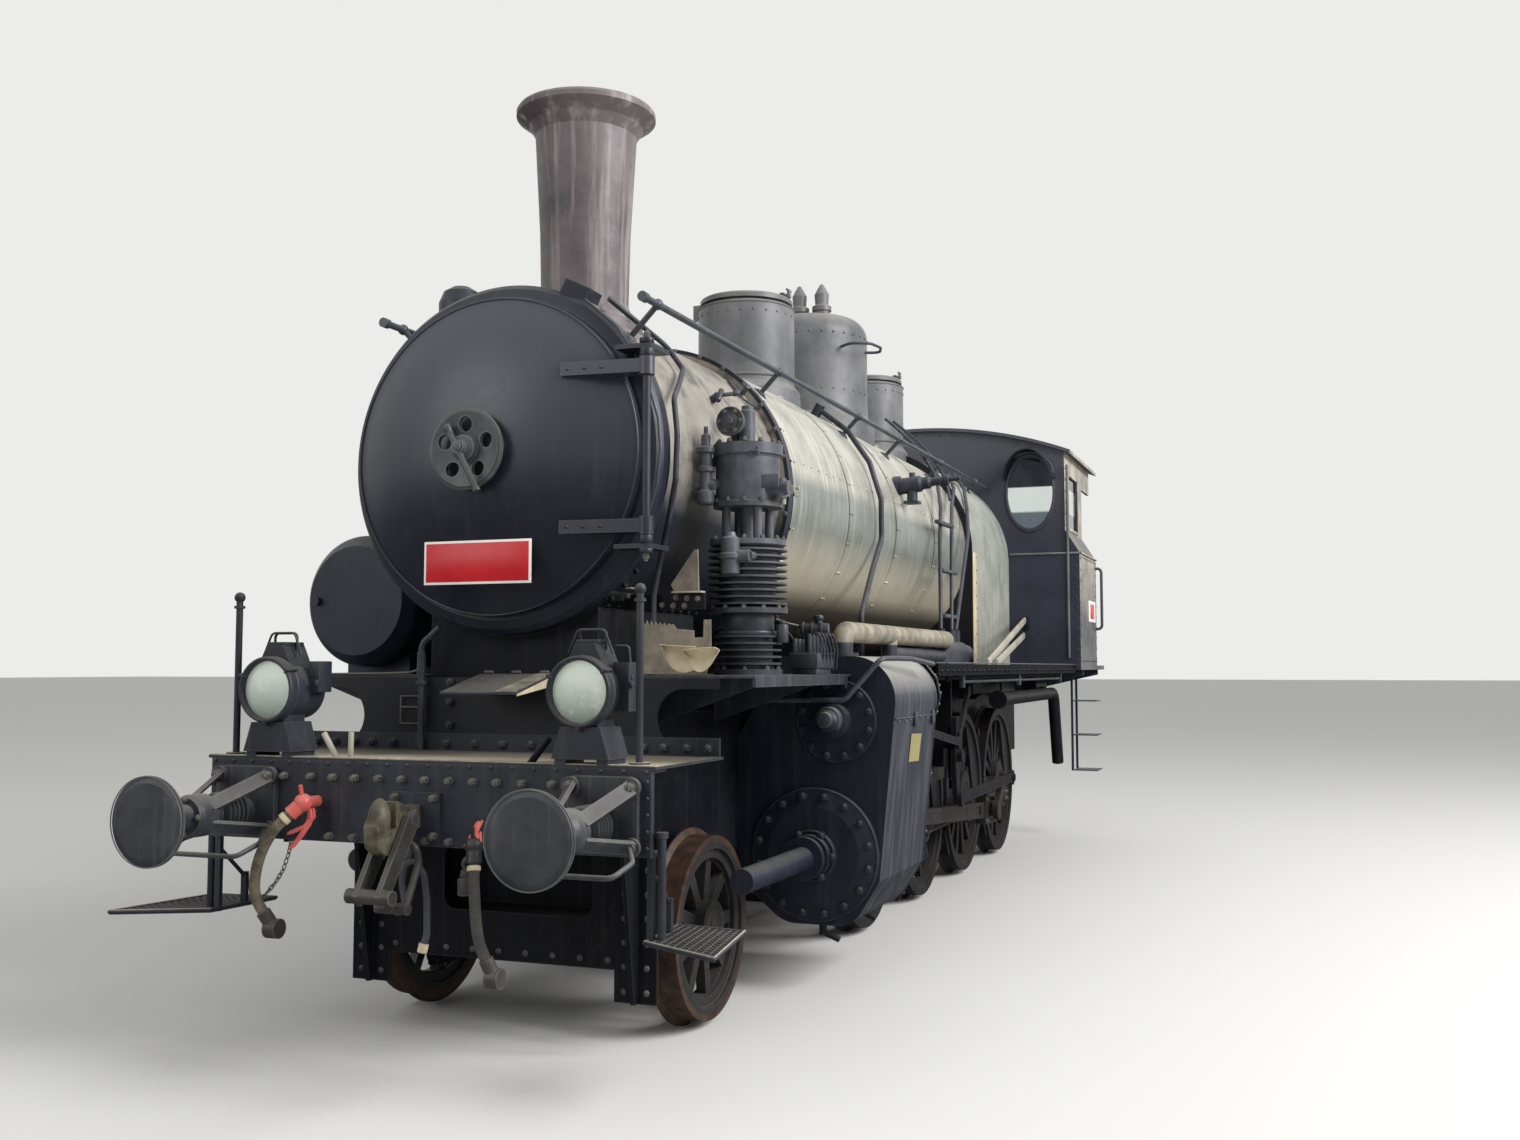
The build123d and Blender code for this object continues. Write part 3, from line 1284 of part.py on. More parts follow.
def cab_floor():
    """Floor plate round the firebox end, with the cab's underframe and steps."""
    edge = cab_lower_half_width
    underside = rear_board_bottom - cab_floor_rim
    floor = block((-edge, edge), (cab_front, cab_rear), (underside, rear_board_top))
    floor -= firebox_shell(firebox_half_width, (cab_front, firebox_rear), frame_top)
    bracket = [
        (frame_outer, frame_top - cab_bracket_drop), (frame_outer, underside),
        (edge - cab_bracket_inset, underside), (edge - cab_bracket_inset, underside - cab_bracket_tip),
    ]
    for y in cab_bracket_rows:
        floor += both(cross_plate(bracket, (y, y + cab_bracket_thickness)))
    floor += block(
        (-frame_outer, frame_outer),
        (cab_bracket_rows[0], cab_bracket_rows[1] + cab_bracket_thickness),
        (frame_top, underside),
    )
    for side in (left, right):
        x = sorted((side * (edge - 260), side * (edge - 20)))
        for z in (650, 1000, 1340):
            floor += block(x, (10060, 10380), (z - 10, z))
        x = sorted((side * (edge - 280), side * (edge - 258)))
        for y in (10060, 10360):
            floor += block(x, (y, y + 20), (640, rear_board_bottom - 30))
    write("cab_floor", floor)


def cab_windows():
    """Panes in the front ovals and the side windows."""
    solids = []
    glass = (cab_front + 8, cab_front + 14)
    for side in (left, right):
        solids.append(oval_window(side, glass))
        x = sorted((side * (cab_upper_half_width - 16), side * (cab_upper_half_width - 10)))
        solids.append(block(x, side_window_y, side_window_z))
    write("cab_windows", solids)


def backhead_fittings():
    """Fire hole door, regulator lever, gauge glasses and reversing stand in the cab."""
    y = firebox_rear
    fittings = block((-240, 240), (y, y + 40), (1850, 2200))
    fittings += rod((0, y, 2900), (0, y + 90, 2900), 60)
    fittings += rod((0, y + 80, 2900), (420, y + 80, 3080), 18)
    solids = [fittings]
    for x in (-360, 360):
        glass = rod((x, y, 2500), (x, y + 70, 2500), 26) + rod((x, y, 2850), (x, y + 70, 2850), 26)
        glass += rod((x, y + 60, 2460), (x, y + 60, 2890), 16)
        solids.append(glass)
    stand = block((1120, 1240), (9330, 9420), (rear_board_top, 2500))
    stand += turned([(210, 0), (210, 24), (180, 24), (180, 0)], (1180, 9420, 2560), (0, 1, 0), hollow=True)
    stand += rod((1180, 9380, 2560), (1180, 9450, 2560), 34)
    stand += block((1165, 1195), (9420, 9440), (2370, 2750))
    stand += block((990, 1370), (9420, 9440), (2545, 2575))
    solids.append(stand)
    for x in (-1150, 1150):
        solids.append(block((x - 170, x + 170), (9560, 9860), (rear_board_top, 2180)))
    write("backhead_fittings", solids)


def pump_fins(start, count, inner, outer):
    """Profile rows of cooling fins, with their number, root and tip radius."""
    rows = []
    for number in range(count):
        low = start + number * pump_fin_pitch
        rows += [(inner, low), (outer, low + 3), (outer, low + 12), (inner, low + 15)]
    return rows


def compressor():
    """Steam-driven air pump: finned air cylinders, an open waist and the steam cylinder on top."""
    base = front_board_top
    x, y = compressor_x, compressor_y
    air = base + 290
    waist = base + 613
    steam = base + 793
    head = steam + 305
    profile = [(165, base), (165, base + 25), (118, base + 30)] + pump_fins(base + 45, 5, 118, 160)
    profile += [(92, base + 206), (92, air), (190, air), (190, air + 22)] + pump_fins(air + 36, 9, 138, 188)
    profile += [(182, waist), (182, waist + 24), (38, waist + 30), (38, steam)]
    profile += [(166, steam), (166, steam + 22), (154, steam + 28), (154, head - 62), (168, head - 56),
                (168, head - 4), (60, head + 10)]
    pump = turned(profile, (x, y, 0), (0, 0, 1))
    for number in range(4):
        out, back = polar(112, 45 + number * 90)
        pump += rod((x + out, y + back, waist + 10), (x + out, y + back, steam + 10), 21)
    pump += turned([(38, head - 10), (38, head + 150), (28, head + 160), (28, head + 176), (12, head + 182)],
                   (x + 20, y - 60, 0), (0, 0, 1))
    pump += rod((x - 40, y - 120, head + 98), (x - 40, y + 60, head + 98), 50)
    pump += rod((x - 40, y - 128, head + 98), (x - 40, y - 96, head + 98), 66)
    pump += rod((x - 40, y - 20, head - 10), (x - 40, y - 20, head + 98), 40)
    governor = turned([(34, 0), (42, 10), (42, 60), (28, 70), (28, 150), (44, 158), (44, 176), (30, 184),
                       (30, 240), (46, 248), (46, 268), (22, 280), (22, 330), (10, 340), (10, 372)],
                      (x - 160, y - 140, steam + 10), (0, 0, 1))
    pump += governor
    pump += rod((x - 160, y - 140, steam + 110), (x - 60, y - 40, steam + 110), 24)
    pump += rod((x - 212, y - 140, steam + 100), (x - 108, y - 140, steam + 100), 20)
    valve = turned([(34, 0), (44, 8), (44, 70), (56, 78), (56, 96), (44, 104), (44, 170), (30, 180),
                    (24, 200)], (x - 12, y - 196, waist - 150), (0, 0, 1))
    pump += valve + rod((x - 12, y - 196, waist - 60), (x + 86, y - 196, waist - 60), 27)
    pump += rod((x + 80, y - 196, waist - 60), (x + 80, y - 120, waist - 60), 20)
    pump += rod((x + 130, y - 60, steam + 84), (x + 232, y - 60, steam + 84), 34)
    pump += rod((x + 190, y - 60, steam + 34), (x + 190, y - 60, steam + 128), 26)
    for z in (steam + 60, steam + 240):
        arm = block((0, x - 100), (y + 40, y + 90), (z - 20, z + 20))
        pump += arm - boiler_shell(smokebox_radius, (smokebox_front, barrel_front))
    write("compressor", pump)


def air_reservoir():
    """Main air tank on the far board, with dished ends and two cradles."""
    x, z, radius = -1196, 2024, 350
    y = (1760, 2640)
    tank = turned([(radius - 60, 0), (radius, 70), (radius, y[1] - y[0] - 70), (radius - 60, y[1] - y[0])],
                  (x, y[0], z), (0, 1, 0), {1: 60, 2: 60})
    tank += rod((x - 240, y[0] - 26, z), (x - 240, y[0], z), 24)
    for at in (1950, 2400):
        cradle = block((x - 180, -980), (at, at + 60), (front_board_top, z - 200))
        tank += cradle
    write("air_reservoir", tank)


def round_boiler(reach, y, degrees):
    """Points at a reach from the boiler's axis, by their angle over +X."""
    rows = [polar(reach, angle) for angle in degrees]
    return [(x, y, boiler_axis + z) for x, z in rows]


def sand_pipe(dome_y):
    """Pipe from a valve at a sand dome's foot, round the barrel and down to the board."""
    y = dome_y + sand_pipe_lead
    route = round_boiler(sand_pipe_reach, y, (60, 43, 26, 9, -8))
    x, foot_y = sand_pipe_foot
    route += [(x, y - 190, 2290), (x, foot_y, 2000), (x, foot_y, rear_board_top + 8)]
    line = pipe(route, sand_pipe_radius, 90)
    line += rod((x, foot_y, rear_board_top), (x, foot_y, rear_board_top + 16), sand_pipe_radius + 14)
    x, z = polar(sand_pipe_reach + 30, 60)
    valve = rod((0, y, boiler_axis), (x, y, boiler_axis + z), 34) - boiler_form()
    return line + valve


def manifold():
    """Casting on the left board with a boss for each small pipe and a drum behind."""
    x, y = manifold_x, manifold_y
    middle = (x[0] + x[1]) / 2
    body = block(x, y, (rear_board_top, manifold_top - 90))
    body += rod((middle, y[0], manifold_top - 90), (middle, y[1], manifold_top - 90), (x[1] - x[0]) / 2)
    body += rod((middle, y[0] - 26, manifold_top - 90), (middle, y[0], manifold_top - 90), 92)
    body += rod((middle, y[1], manifold_top - 100), (middle, y[1] + 200, manifold_top - 100), 66)
    body += block((x[0] - 30, x[1] + 30), (y[0] + 60, y[1] - 60), (rear_board_top, rear_board_top + 22))
    for radius, bend, points in small_pipe_rows[1:]:
        foot = points[-1]
        body += rod((foot[0], foot[1], manifold_top - 60), foot, radius + 16)
    return body


def steam_pipes():
    """Pale lagged pipe along the left board, the check valve, the sand pipes and the small pipes."""
    x, z = lagged_pipe_x, lagged_pipe_z
    elbow, branch = lagged_pipe_y
    board = pipe([(x, elbow, cylinder_top + 8), (x, elbow, z), (x, manifold_y[0] - 60, z),
                  (1005, manifold_y[0] + 40, z - 70)], 58, 80)
    board += rod((x, elbow, cylinder_top), (x, elbow, cylinder_top + 20), 88)
    board += rod((x, branch, z), (x, branch, rear_board_top), 50)
    board += rod((x, branch, rear_board_top), (x, branch, rear_board_top + 20), 84)
    board += rod((x, branch + 30, z - 115), (x - 60, manifold_y[0] + 10, z - 115), 44)
    board += manifold()
    for radius, bend, points in small_pipe_rows[1:]:
        board += pipe(points, radius, bend)
    y, z = check_valve_y, check_valve_z
    check = rod((760, y, z), (800, y, z), 76)
    check += turned([(58, 0), (58, 150), (44, 170), (44, 215), (30, 235), (30, 330), (40, 334), (40, 356),
                     (16, 362), (16, 440)], (800, y, z), (1, 0, 0.1))
    check += rod((890, y, z - 110), (890, y, z), 38)
    check += block((838, 942), (y - 52, y + 52), (z - 128, z - 108))
    check += rod((890, y, z), (890, y, z + 96), 22)
    radius, bend, points = small_pipe_rows[0]
    x, y, z = points[-1]
    front = pipe(points, radius, bend)
    front += rod((x, y, front_board_top), (x, y, front_board_top + 16), radius + 14)
    riser = pipe([(-430, 1250, deck_top), (-430, 1250, 1780), (-330, 1250, 1860)], 15, 60)
    riser += rod((-430, 1250, 1640), (-430, 1250, 1745), 21)
    riser += rod((-430, 1250, 1590), (-430, 1250, 1608), 27)
    sanding = both(sand_pipe(sand_dome_rows[0][0]))
    write("steam_pipes", [board, check - boiler_form(), front, riser] + sanding)


def injector():
    """Injector under the left board, with its feed pipe along the valance and down to the rear."""
    x = 1180
    body = rod((x, 8250, 1500), (x, 8800, 1500), 66)
    body += rod((x, 8450, 1400), (x, 8450, 1600), 56)
    body += block((x - 30, x + 30), (8560, 8600), (1500, rear_board_bottom))
    feed = pipe([(1330, 6150, 1430), (1330, 8640, 1438), (1330, 8850, 800)], 52, 130)
    feed += rod((1330, 6130, 1430), (1330, 6190, 1430), 70)
    feed += rod((1330, 8500, 1438), (x, 8500, 1490), 34)
    feed += block((1290, 1310), (6400, 6440), (1430, rear_board_bottom))
    write("injector", body + feed)


def brake_gear():
    """Hangers, brake blocks and cross beams ahead of each coupled wheel, with the pull rod."""
    solids = []
    for y in coupled_stations:
        hang = y - coupled_pitch / 2
        low, high = 740, 780
        lever = block((low, high), (hang - 16, hang + 16), (250, 1120))
        lever += rod((low - 10, hang, 1100), (high + 10, hang, 1100), 40)
        lever += rod((frame_outer, hang, 1100), (low, hang, 1100), 28)
        start = coupled_radius + 7
        shoe_face = Circle(start + 52) - Circle(start)
        shoe_face &= face_of([(0, 0), polar(900, 202), polar(900, 222)])
        plane = Plane(origin=(wheel_inner + 42, y, coupled_radius), x_dir=(0, 1, 0), z_dir=(1, 0, 0))
        shoe = plane.location * extrude(shoe_face, 84)
        shoe_y, shoe_z = polar(start + 40, 211)
        arm = rod((760, hang, 340), (760, y + shoe_y, coupled_radius + shoe_z), 24)
        lever += shoe + arm
        for side_piece in both(lever):
            solids.append(side_piece)
        solids.append(rod((-low, hang, 265), (low, hang, 265), 26))
    first = coupled_stations[0] - coupled_pitch / 2
    brake_shaft_y = last_coupled_y + horn_width / 2 + 120
    solids.append(block((-30, 30), (first, brake_shaft_y + 20), (225, 255)))
    solids.append(rod((0, brake_shaft_y, 240), (0, brake_shaft_y, 860), 24))
    solids.append(rod((-frame_inner, brake_shaft_y, 860), (frame_inner, brake_shaft_y, 860), 45))
    write("brake_gear", solids)


def valve_gear():
    """Expansion link, eccentric rod, radius rod, combination lever and reversing shaft, each side."""
    solids = []
    low = eccentric_rod_x
    high = low + gear_thickness
    for side in (left, right):
        return_y, return_z = return_pin(side)
        link_y = motion_bracket_y + motion_bracket_thickness / 2
        foot = (link_y + 60, 760)
        x = (low, high)
        link = side_plate(
            [(link_y + 85, 1330), (link_y - 10, 1330), (link_y - 55, 1060), (link_y - 10, 790),
             (foot[0] - 45, 715), (foot[0] + 45, 715), (link_y + 85, 800), (link_y + 50, 1060)],
            x, {0: 25, 1: 25, 4: 30, 5: 30},
        )
        link += rod((low - running_gap / 2, link_y, 1060), (high + 40, link_y, 1060), 42)
        link += eye_bar(foot, (return_y, return_z), (high - 10, high + 26), 34, 60)
        link += rod((low, foot[0], foot[1]), (high + 26, foot[0], foot[1]), 26)
        pin_inner = low
        link += rod((pin_inner, return_y, return_z), (high + 40, return_y, return_z), 30)
        lever_y = cylinder_rear + 560
        top = (lever_y, valve_axis)
        link += eye_bar((link_y, 1150), (lever_y, valve_axis - 95), (high - 10, high + 20), 26, 44)
        link += eye_bar(top, (lever_y - 40, 520), (low, high - 10), 30, 46)
        spindle = (valve_x, cylinder_rear + valve_gland_length, valve_axis)
        link += rod(spindle, (valve_x, lever_y + 40, valve_axis), 30)
        link += rod((valve_x, lever_y, valve_axis), (high, lever_y, valve_axis), 26)
        union_end = (crosshead_place(side) - 120, 470)
        link += eye_bar((lever_y - 40, 520), union_end, (low, high - 10), 22, 36)
        link += block((frame_outer, valve_x), (lever_y - 30, lever_y + 10),
                      (valve_axis + 30, valve_axis + 90))
        shaft_y = link_y + 320
        link += eye_bar((shaft_y, 1500), (link_y + 30, 1200), (high - 10, high + 20), 24, 40)
        link += rod((frame_outer, shaft_y, 1500), (high + 20, shaft_y, 1500), 34)
        if side == right:
            link = mirror(link, about=Plane.YZ)
        solids.append(link)
    solids.append(rod((-frame_inner, link_shaft_y, 1400), (frame_inner, link_shaft_y, 1400), 40))
    reach = rod((reach_rod_x, cylinder_rear + 400, reach_rod_z), (reach_rod_x, cab_front, reach_rod_z),
                reach_rod_radius)
    for y in reach_rod_guides:
        guide = (y - 22, y + 22)
        reach += rod((reach_rod_x, guide[0], reach_rod_z), (reach_rod_x, guide[1], reach_rod_z),
                     reach_rod_radius + 12)
        reach += block((reach_rod_x - 8, reach_rod_x + 8), guide, (reach_rod_z, rear_board_bottom))
    solids.append(reach)
    write("valve_gear", solids)


def eye_bar(first, last, x, half_depth, boss):
    """Flat bar with a round boss at both ends; ends are (y, z)."""
    reach = math.hypot(last[0] - first[0], last[1] - first[1])
    lean = math.degrees(math.atan2(last[1] - first[1], last[0] - first[0]))
    bar = side_plate([(0, -half_depth), (reach, -half_depth), (reach, half_depth), (0, half_depth)], x)
    bar += rod((x[0], 0, 0), (x[1], 0, 0), boss)
    bar += rod((x[0], reach, 0), (x[1], reach, 0), boss)
    return Pos(0, *first) * Rot(lean, 0, 0) * bar


def hose_route(name):
    return [Vector(*point) for point in hose_rows[name]]


def bend_radii(route):
    """Largest tangent arc at each inner point of a route."""
    radii = []
    for before, here, after in zip(route, route[1:], route[2:]):
        first, second = here - before, after - here
        half_turn = math.radians(first.get_angle(second)) / 2
        radii.append(0.45 * min(first.length, second.length) / math.tan(half_turn))
    return radii


def brake_hoses():
    """Rubber hoses that hang from the cocks, each with its own route."""
    for name in hose_rows:
        route = hose_route(name)
        radii = bend_radii(route)
        print("hose", name, "arc radii", [round(radius) for radius in radii])
        path = FilletPolyline(*route, radius=radii)
        start = Plane(origin=path @ 0, z_dir=path % 0)
        hose = sweep(start * Circle(hose_radius), path=path)
        print("hose", name, "length", round(path.length), "volume ratio",
              round(hose.volume / (math.pi * hose_radius ** 2 * path.length), 4))
        write(f"brake_hose_{name}", hose)


def hose_cocks():
    """Angle cocks on the beam and the pipe stubs that the hoses hang from."""
    solids = []
    for name in hose_rows:
        route = hose_route(name)
        first = route[0]
        away = (route[0] - route[1]).normalized()
        inner = first + away * 70
        cock = rod(tuple(first), tuple(inner), hose_radius + 9)
        cock += Pos(*inner) * Sphere(hose_radius + 16)
        cock += rod(tuple(inner), (inner.X, beam_y, inner.Z), 24)
        handle_end = (inner.X, inner.Y - 20, inner.Z + 75)
        cock += rod(tuple(inner), handle_end, 9)
        if inner.Z < beam_bottom:
            cock += rod((inner.X, beam_y - 1, inner.Z), (inner.X, beam_y - 1, beam_bottom + 40), 24)
        cock -= block((-2000, 2000), (beam_y, beam_y + 60), (beam_bottom, deck_bottom))
        solids.append(cock)
    write("hose_cocks", solids)


def hose_couplings():
    """Claw coupling heads on the free ends of the hoses."""
    solids = []
    for name in hose_rows:
        route = hose_route(name)
        last = route[-1]
        onward = (route[-1] - route[-2]).normalized()
        end = last + onward * 85
        head = rod(tuple(last), tuple(end), hose_radius + 7)
        head += rod(tuple(end - Vector(30, 0, 0)), tuple(end + Vector(30, 0, 0)), 42)
        head -= rod(tuple(last - onward * 60), tuple(last), hose_radius + 30)
        solids.append(head)
    write("hose_couplings", solids)


def main():
    os.makedirs("parts", exist_ok=True)
    lead_wheelset()
    coupled_wheelsets()
    coupling_rods()
    main_rods()
    crossheads()
    slide_bars()
    motion_brackets()
    cylinders()
    frame_plates()
    frame_stretchers()
    axle_boxes()
    leaf_springs()
    buffer_beam()
    buffer_stocks()
    buffer_plungers()
    draw_hook()
    coupling_links()
    guard_irons()
    front_deck()
    front_steps()
    headlamps()
    lamp_glasses()
    smokebox()
    smokebox_door()
    door_handwheel()
    smokebox_saddle()
    chimney()
    boiler()
    ashpan()
    sand_domes()
    sand_lids()
    steam_dome()
    safety_valves()
    running_boards()
    handrails()
    cab_front_wall()
    cab_sides()
    cab_roof()
    cab_floor()
    cab_windows()
    backhead_fittings()
    compressor()
    air_reservoir()
    steam_pipes()
    injector()
    brake_gear()
    valve_gear()
    brake_hoses()
    hose_cocks()
    hose_couplings()


main()
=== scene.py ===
import math

import bpy
from mathutils import Matrix, Vector


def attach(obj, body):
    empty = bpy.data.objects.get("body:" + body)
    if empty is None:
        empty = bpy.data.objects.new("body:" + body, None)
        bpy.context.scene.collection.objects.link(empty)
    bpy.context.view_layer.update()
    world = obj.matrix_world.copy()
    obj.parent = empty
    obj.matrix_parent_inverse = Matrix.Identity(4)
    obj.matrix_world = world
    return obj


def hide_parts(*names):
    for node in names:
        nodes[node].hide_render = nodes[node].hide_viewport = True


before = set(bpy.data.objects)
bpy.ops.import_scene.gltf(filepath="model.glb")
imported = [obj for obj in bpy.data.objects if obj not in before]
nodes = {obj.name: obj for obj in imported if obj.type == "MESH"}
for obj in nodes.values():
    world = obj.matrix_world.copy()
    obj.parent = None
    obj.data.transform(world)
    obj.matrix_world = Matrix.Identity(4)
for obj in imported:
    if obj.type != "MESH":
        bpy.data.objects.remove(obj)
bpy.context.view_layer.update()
print("frame loaded:", len(nodes), "nodes")


def toLinear(hexColour, alpha=1.0):
    channels = [int(hexColour[i:i + 2], 16) / 255 for i in (1, 3, 5)]
    return tuple(c / 12.92 if c <= 0.04045 else ((c + 0.055) / 1.055) ** 2.4 for c in channels) + (alpha,)


def addNode(tree, kind, links=None, **settings):
    node = tree.nodes.new("ShaderNode" + kind)
    for name, value in settings.items():
        setattr(node, name, value)
    for socket, source in (links or {}).items():
        if isinstance(source, bpy.types.NodeSocket):
            tree.links.new(source, node.inputs[socket])
        else:
            node.inputs[socket].default_value = source
    return node


# sockets of the colour Mix node
mixA, mixB, mixed = 6, 7, 2


def newMaterial(name):
    material = bpy.data.materials.new(name)
    material.use_nodes = True
    tree = material.node_tree
    return material, tree, tree.nodes["Principled BSDF"]


def dress(material, *names):
    # a CAD node keeps its mesh and gets this finish
    for name in names:
        data = nodes[name].data
        data.materials.clear()
        data.materials.append(material)


view = {"place": (3.495, -9.836, 1.698), "turnLeft": 20.898, "tiltUp": 3.903, "lens": 33.83}
cameraData = bpy.data.cameras.new("photoCamera")
cameraData.lens = view["lens"]
cameraData.sensor_width = 36
camera = bpy.data.objects.new("photoCamera", cameraData)
camera.location = view["place"]
camera.rotation_euler = (math.radians(90 + view["tiltUp"]), 0, math.radians(view["turnLeft"]))
bpy.context.scene.collection.objects.link(camera)
bpy.context.scene.camera = camera

bpy.context.scene.view_settings.view_transform = "Standard"

studio = {"floor": "#dddcd8", "mirrored": "#5a5854", "sky": "#f4f5f6", "skyStrength": 0.56,
    "seen": "#ececea"}
bpy.ops.mesh.primitive_plane_add(size=400, location=(0, 0, -0.001))
floor = bpy.context.object
floor.name = "studioFloor"
floorMaterial, tree, shader = newMaterial("paleStudioFloor")
# in the paint's sheen the floor is dimmer than to the eye, so that black paint stays deep
mirror = addNode(tree, "LightPath").outputs["Is Glossy Ray"]
ground = addNode(tree, "Mix",
    {0: mirror, mixA: toLinear(studio["floor"]), mixB: toLinear(studio["mirrored"])},
    data_type="RGBA").outputs[mixed]
tree.links.new(ground, shader.inputs["Base Color"])
shader.inputs["Roughness"].default_value = 0.9
floor.data.materials.append(floorMaterial)

world = bpy.data.worlds.new("studioWorld")
world.use_nodes = True
tree = world.node_tree
background = tree.nodes["Background"]
background.inputs["Color"].default_value = toLinear(studio["sky"])
background.inputs["Strength"].default_value = studio["skyStrength"]
# the eye and the paint's sheen see the plain pale studio at its own brightness
seen = addNode(tree, "Background", {"Color": toLinear(studio["seen"]), "Strength": 1.0}).outputs[0]
rays = addNode(tree, "LightPath").outputs
either = addNode(tree, "Math", {0: rays["Is Camera Ray"], 1: rays["Is Glossy Ray"]},
    operation="MAXIMUM").outputs[0]
sky = addNode(tree, "MixShader", {0: either, 1: background.outputs[0], 2: seen}).outputs[0]
tree.links.new(sky, tree.nodes["World Output"].inputs["Surface"])
bpy.context.scene.world = world

lamps = {
    "skyKey": {"place": (16, -3, 11), "aim": (0, -1.5, 2), "size": 10, "power": 4100},
    "skyFill": {"place": (-7, -15, 8), "aim": (0, -3, 2), "size": 9, "power": 500},
}
for name, lamp in lamps.items():
    lightData = bpy.data.lights.new(name, "AREA")
    lightData.size = lamp["size"]
    lightData.energy = lamp["power"]
    light = bpy.data.objects.new(name, lightData)
    light.location = lamp["place"]
    light.rotation_euler = (Vector(lamp["aim"]) - Vector(lamp["place"])).to_track_quat("-Z", "Y").to_euler()
    bpy.context.scene.collection.objects.link(light)
print("camera, floor and light done")


def paintedIron(name, dark, light, dust, **look):
    # old oil paint on iron: a dull skin with dust on what faces up, rain runs, rust spots and worn edges
    values = {"dark": dark, "light": light, "dust": dust, "bare": "#5b5c5e", "rust": "#5b3d2c",
        "patch": 350, "grain": 7, "dent": 0.0, "dusty": 0.5, "runs": 0.2, "rusty": 0.3, "edge": 0.5,
        "metal": 0.0, "rough": (0.36, 0.6), "runScale": (22, 22, 1.1), "sheen": 0.4}
    values.update(look)
    material, tree, shader = newMaterial(name)
    place = addNode(tree, "TexCoord").outputs["Object"]
    normal = addNode(tree, "NewGeometry").outputs["Normal"]
    upward = addNode(tree, "SeparateXYZ", {0: normal}).outputs["Z"]
    stretched = addNode(tree, "Mapping", {"Vector": place, "Scale": values["runScale"]}).outputs[0]
    clouds = []
    for source, scale, detail, rough in ((place, 1000 / values["patch"], 7, 0.65), (place, 14, 10, 0.75),
                                         (place, 1000 / values["grain"], 3, 0.5), (stretched, 1.0, 6, 0.6)):
        clouds.append(addNode(tree, "TexNoise", {"Vector": source, "Scale": scale, "Detail": detail,
                                                 "Roughness": rough}).outputs[0])
    patches, spots, grain, runs = clouds
    rounded = addNode(tree, "Bevel", {"Radius": 0.012}, samples=4).outputs[0]
    turned = addNode(tree, "VectorMath", {0: rounded, 1: normal}, operation="DOT_PRODUCT").outputs["Value"]
    low, high = values["rough"]
    tone, runMask, facing, lying, rustMask, edges, dull = [
        addNode(tree, "MapRange", {"Value": source, "From Min": first, "From Max": last, "To Min": least,
                                   "To Max": most}).outputs[0]
        for source, first, last, least, most in (
            (patches, 0.36, 0.66, 0, 1), (runs, 0.52, 0.74, 0, values["runs"]), (upward, 0.25, 0.95, 0, 1),
            (patches, 0.3, 0.62, 0.35, 1), (spots, 0.66 - 0.1 * values["rusty"], 0.74, 0, values["rusty"]),
            (turned, 0.97, 0.8, 0, values["edge"]), (spots, 0.3, 0.7, low, high))]
    chips, dustMask = [addNode(tree, "Math", {0: first, 1: second}, operation="MULTIPLY").outputs[0]
                       for first, second in ((edges, spots), (facing, lying))]
    dustMask = addNode(tree, "Math", {0: dustMask, 1: values["dusty"]}, operation="MULTIPLY").outputs[0]
    paint = toLinear(values["dark"])
    for mask, colour in ((tone, "light"), (runMask, "dust"), (dustMask, "dust"), (rustMask, "rust"),
                         (chips, "bare")):
        paint = addNode(tree, "Mix", {0: mask, mixA: paint, mixB: toLinear(values[colour])},
                        data_type="RGBA").outputs[mixed]
    tree.links.new(paint, shader.inputs["Base Color"])
    duller = addNode(tree, "Math", {0: dustMask, 1: 0.3, 2: dull}, operation="MULTIPLY_ADD").outputs[0]
    tree.links.new(duller, shader.inputs["Roughness"])
    shader.inputs["Metallic"].default_value = values["metal"]
    shader.inputs["Specular IOR Level"].default_value = values["sheen"]
    skin = addNode(tree, "Bump", {"Height": grain, "Strength": 0.25, "Distance": 0.0012})
    if values["dent"]:
        broad = addNode(tree, "TexNoise", {"Vector": place, "Scale": 3.2, "Detail": 1}).outputs[0]
        skin = addNode(tree, "Bump", {"Height": broad, "Strength": 0.5, "Distance": values["dent"],
                                      "Normal": skin.outputs[0]})
    tree.links.new(skin.outputs[0], shader.inputs["Normal"])
    return material


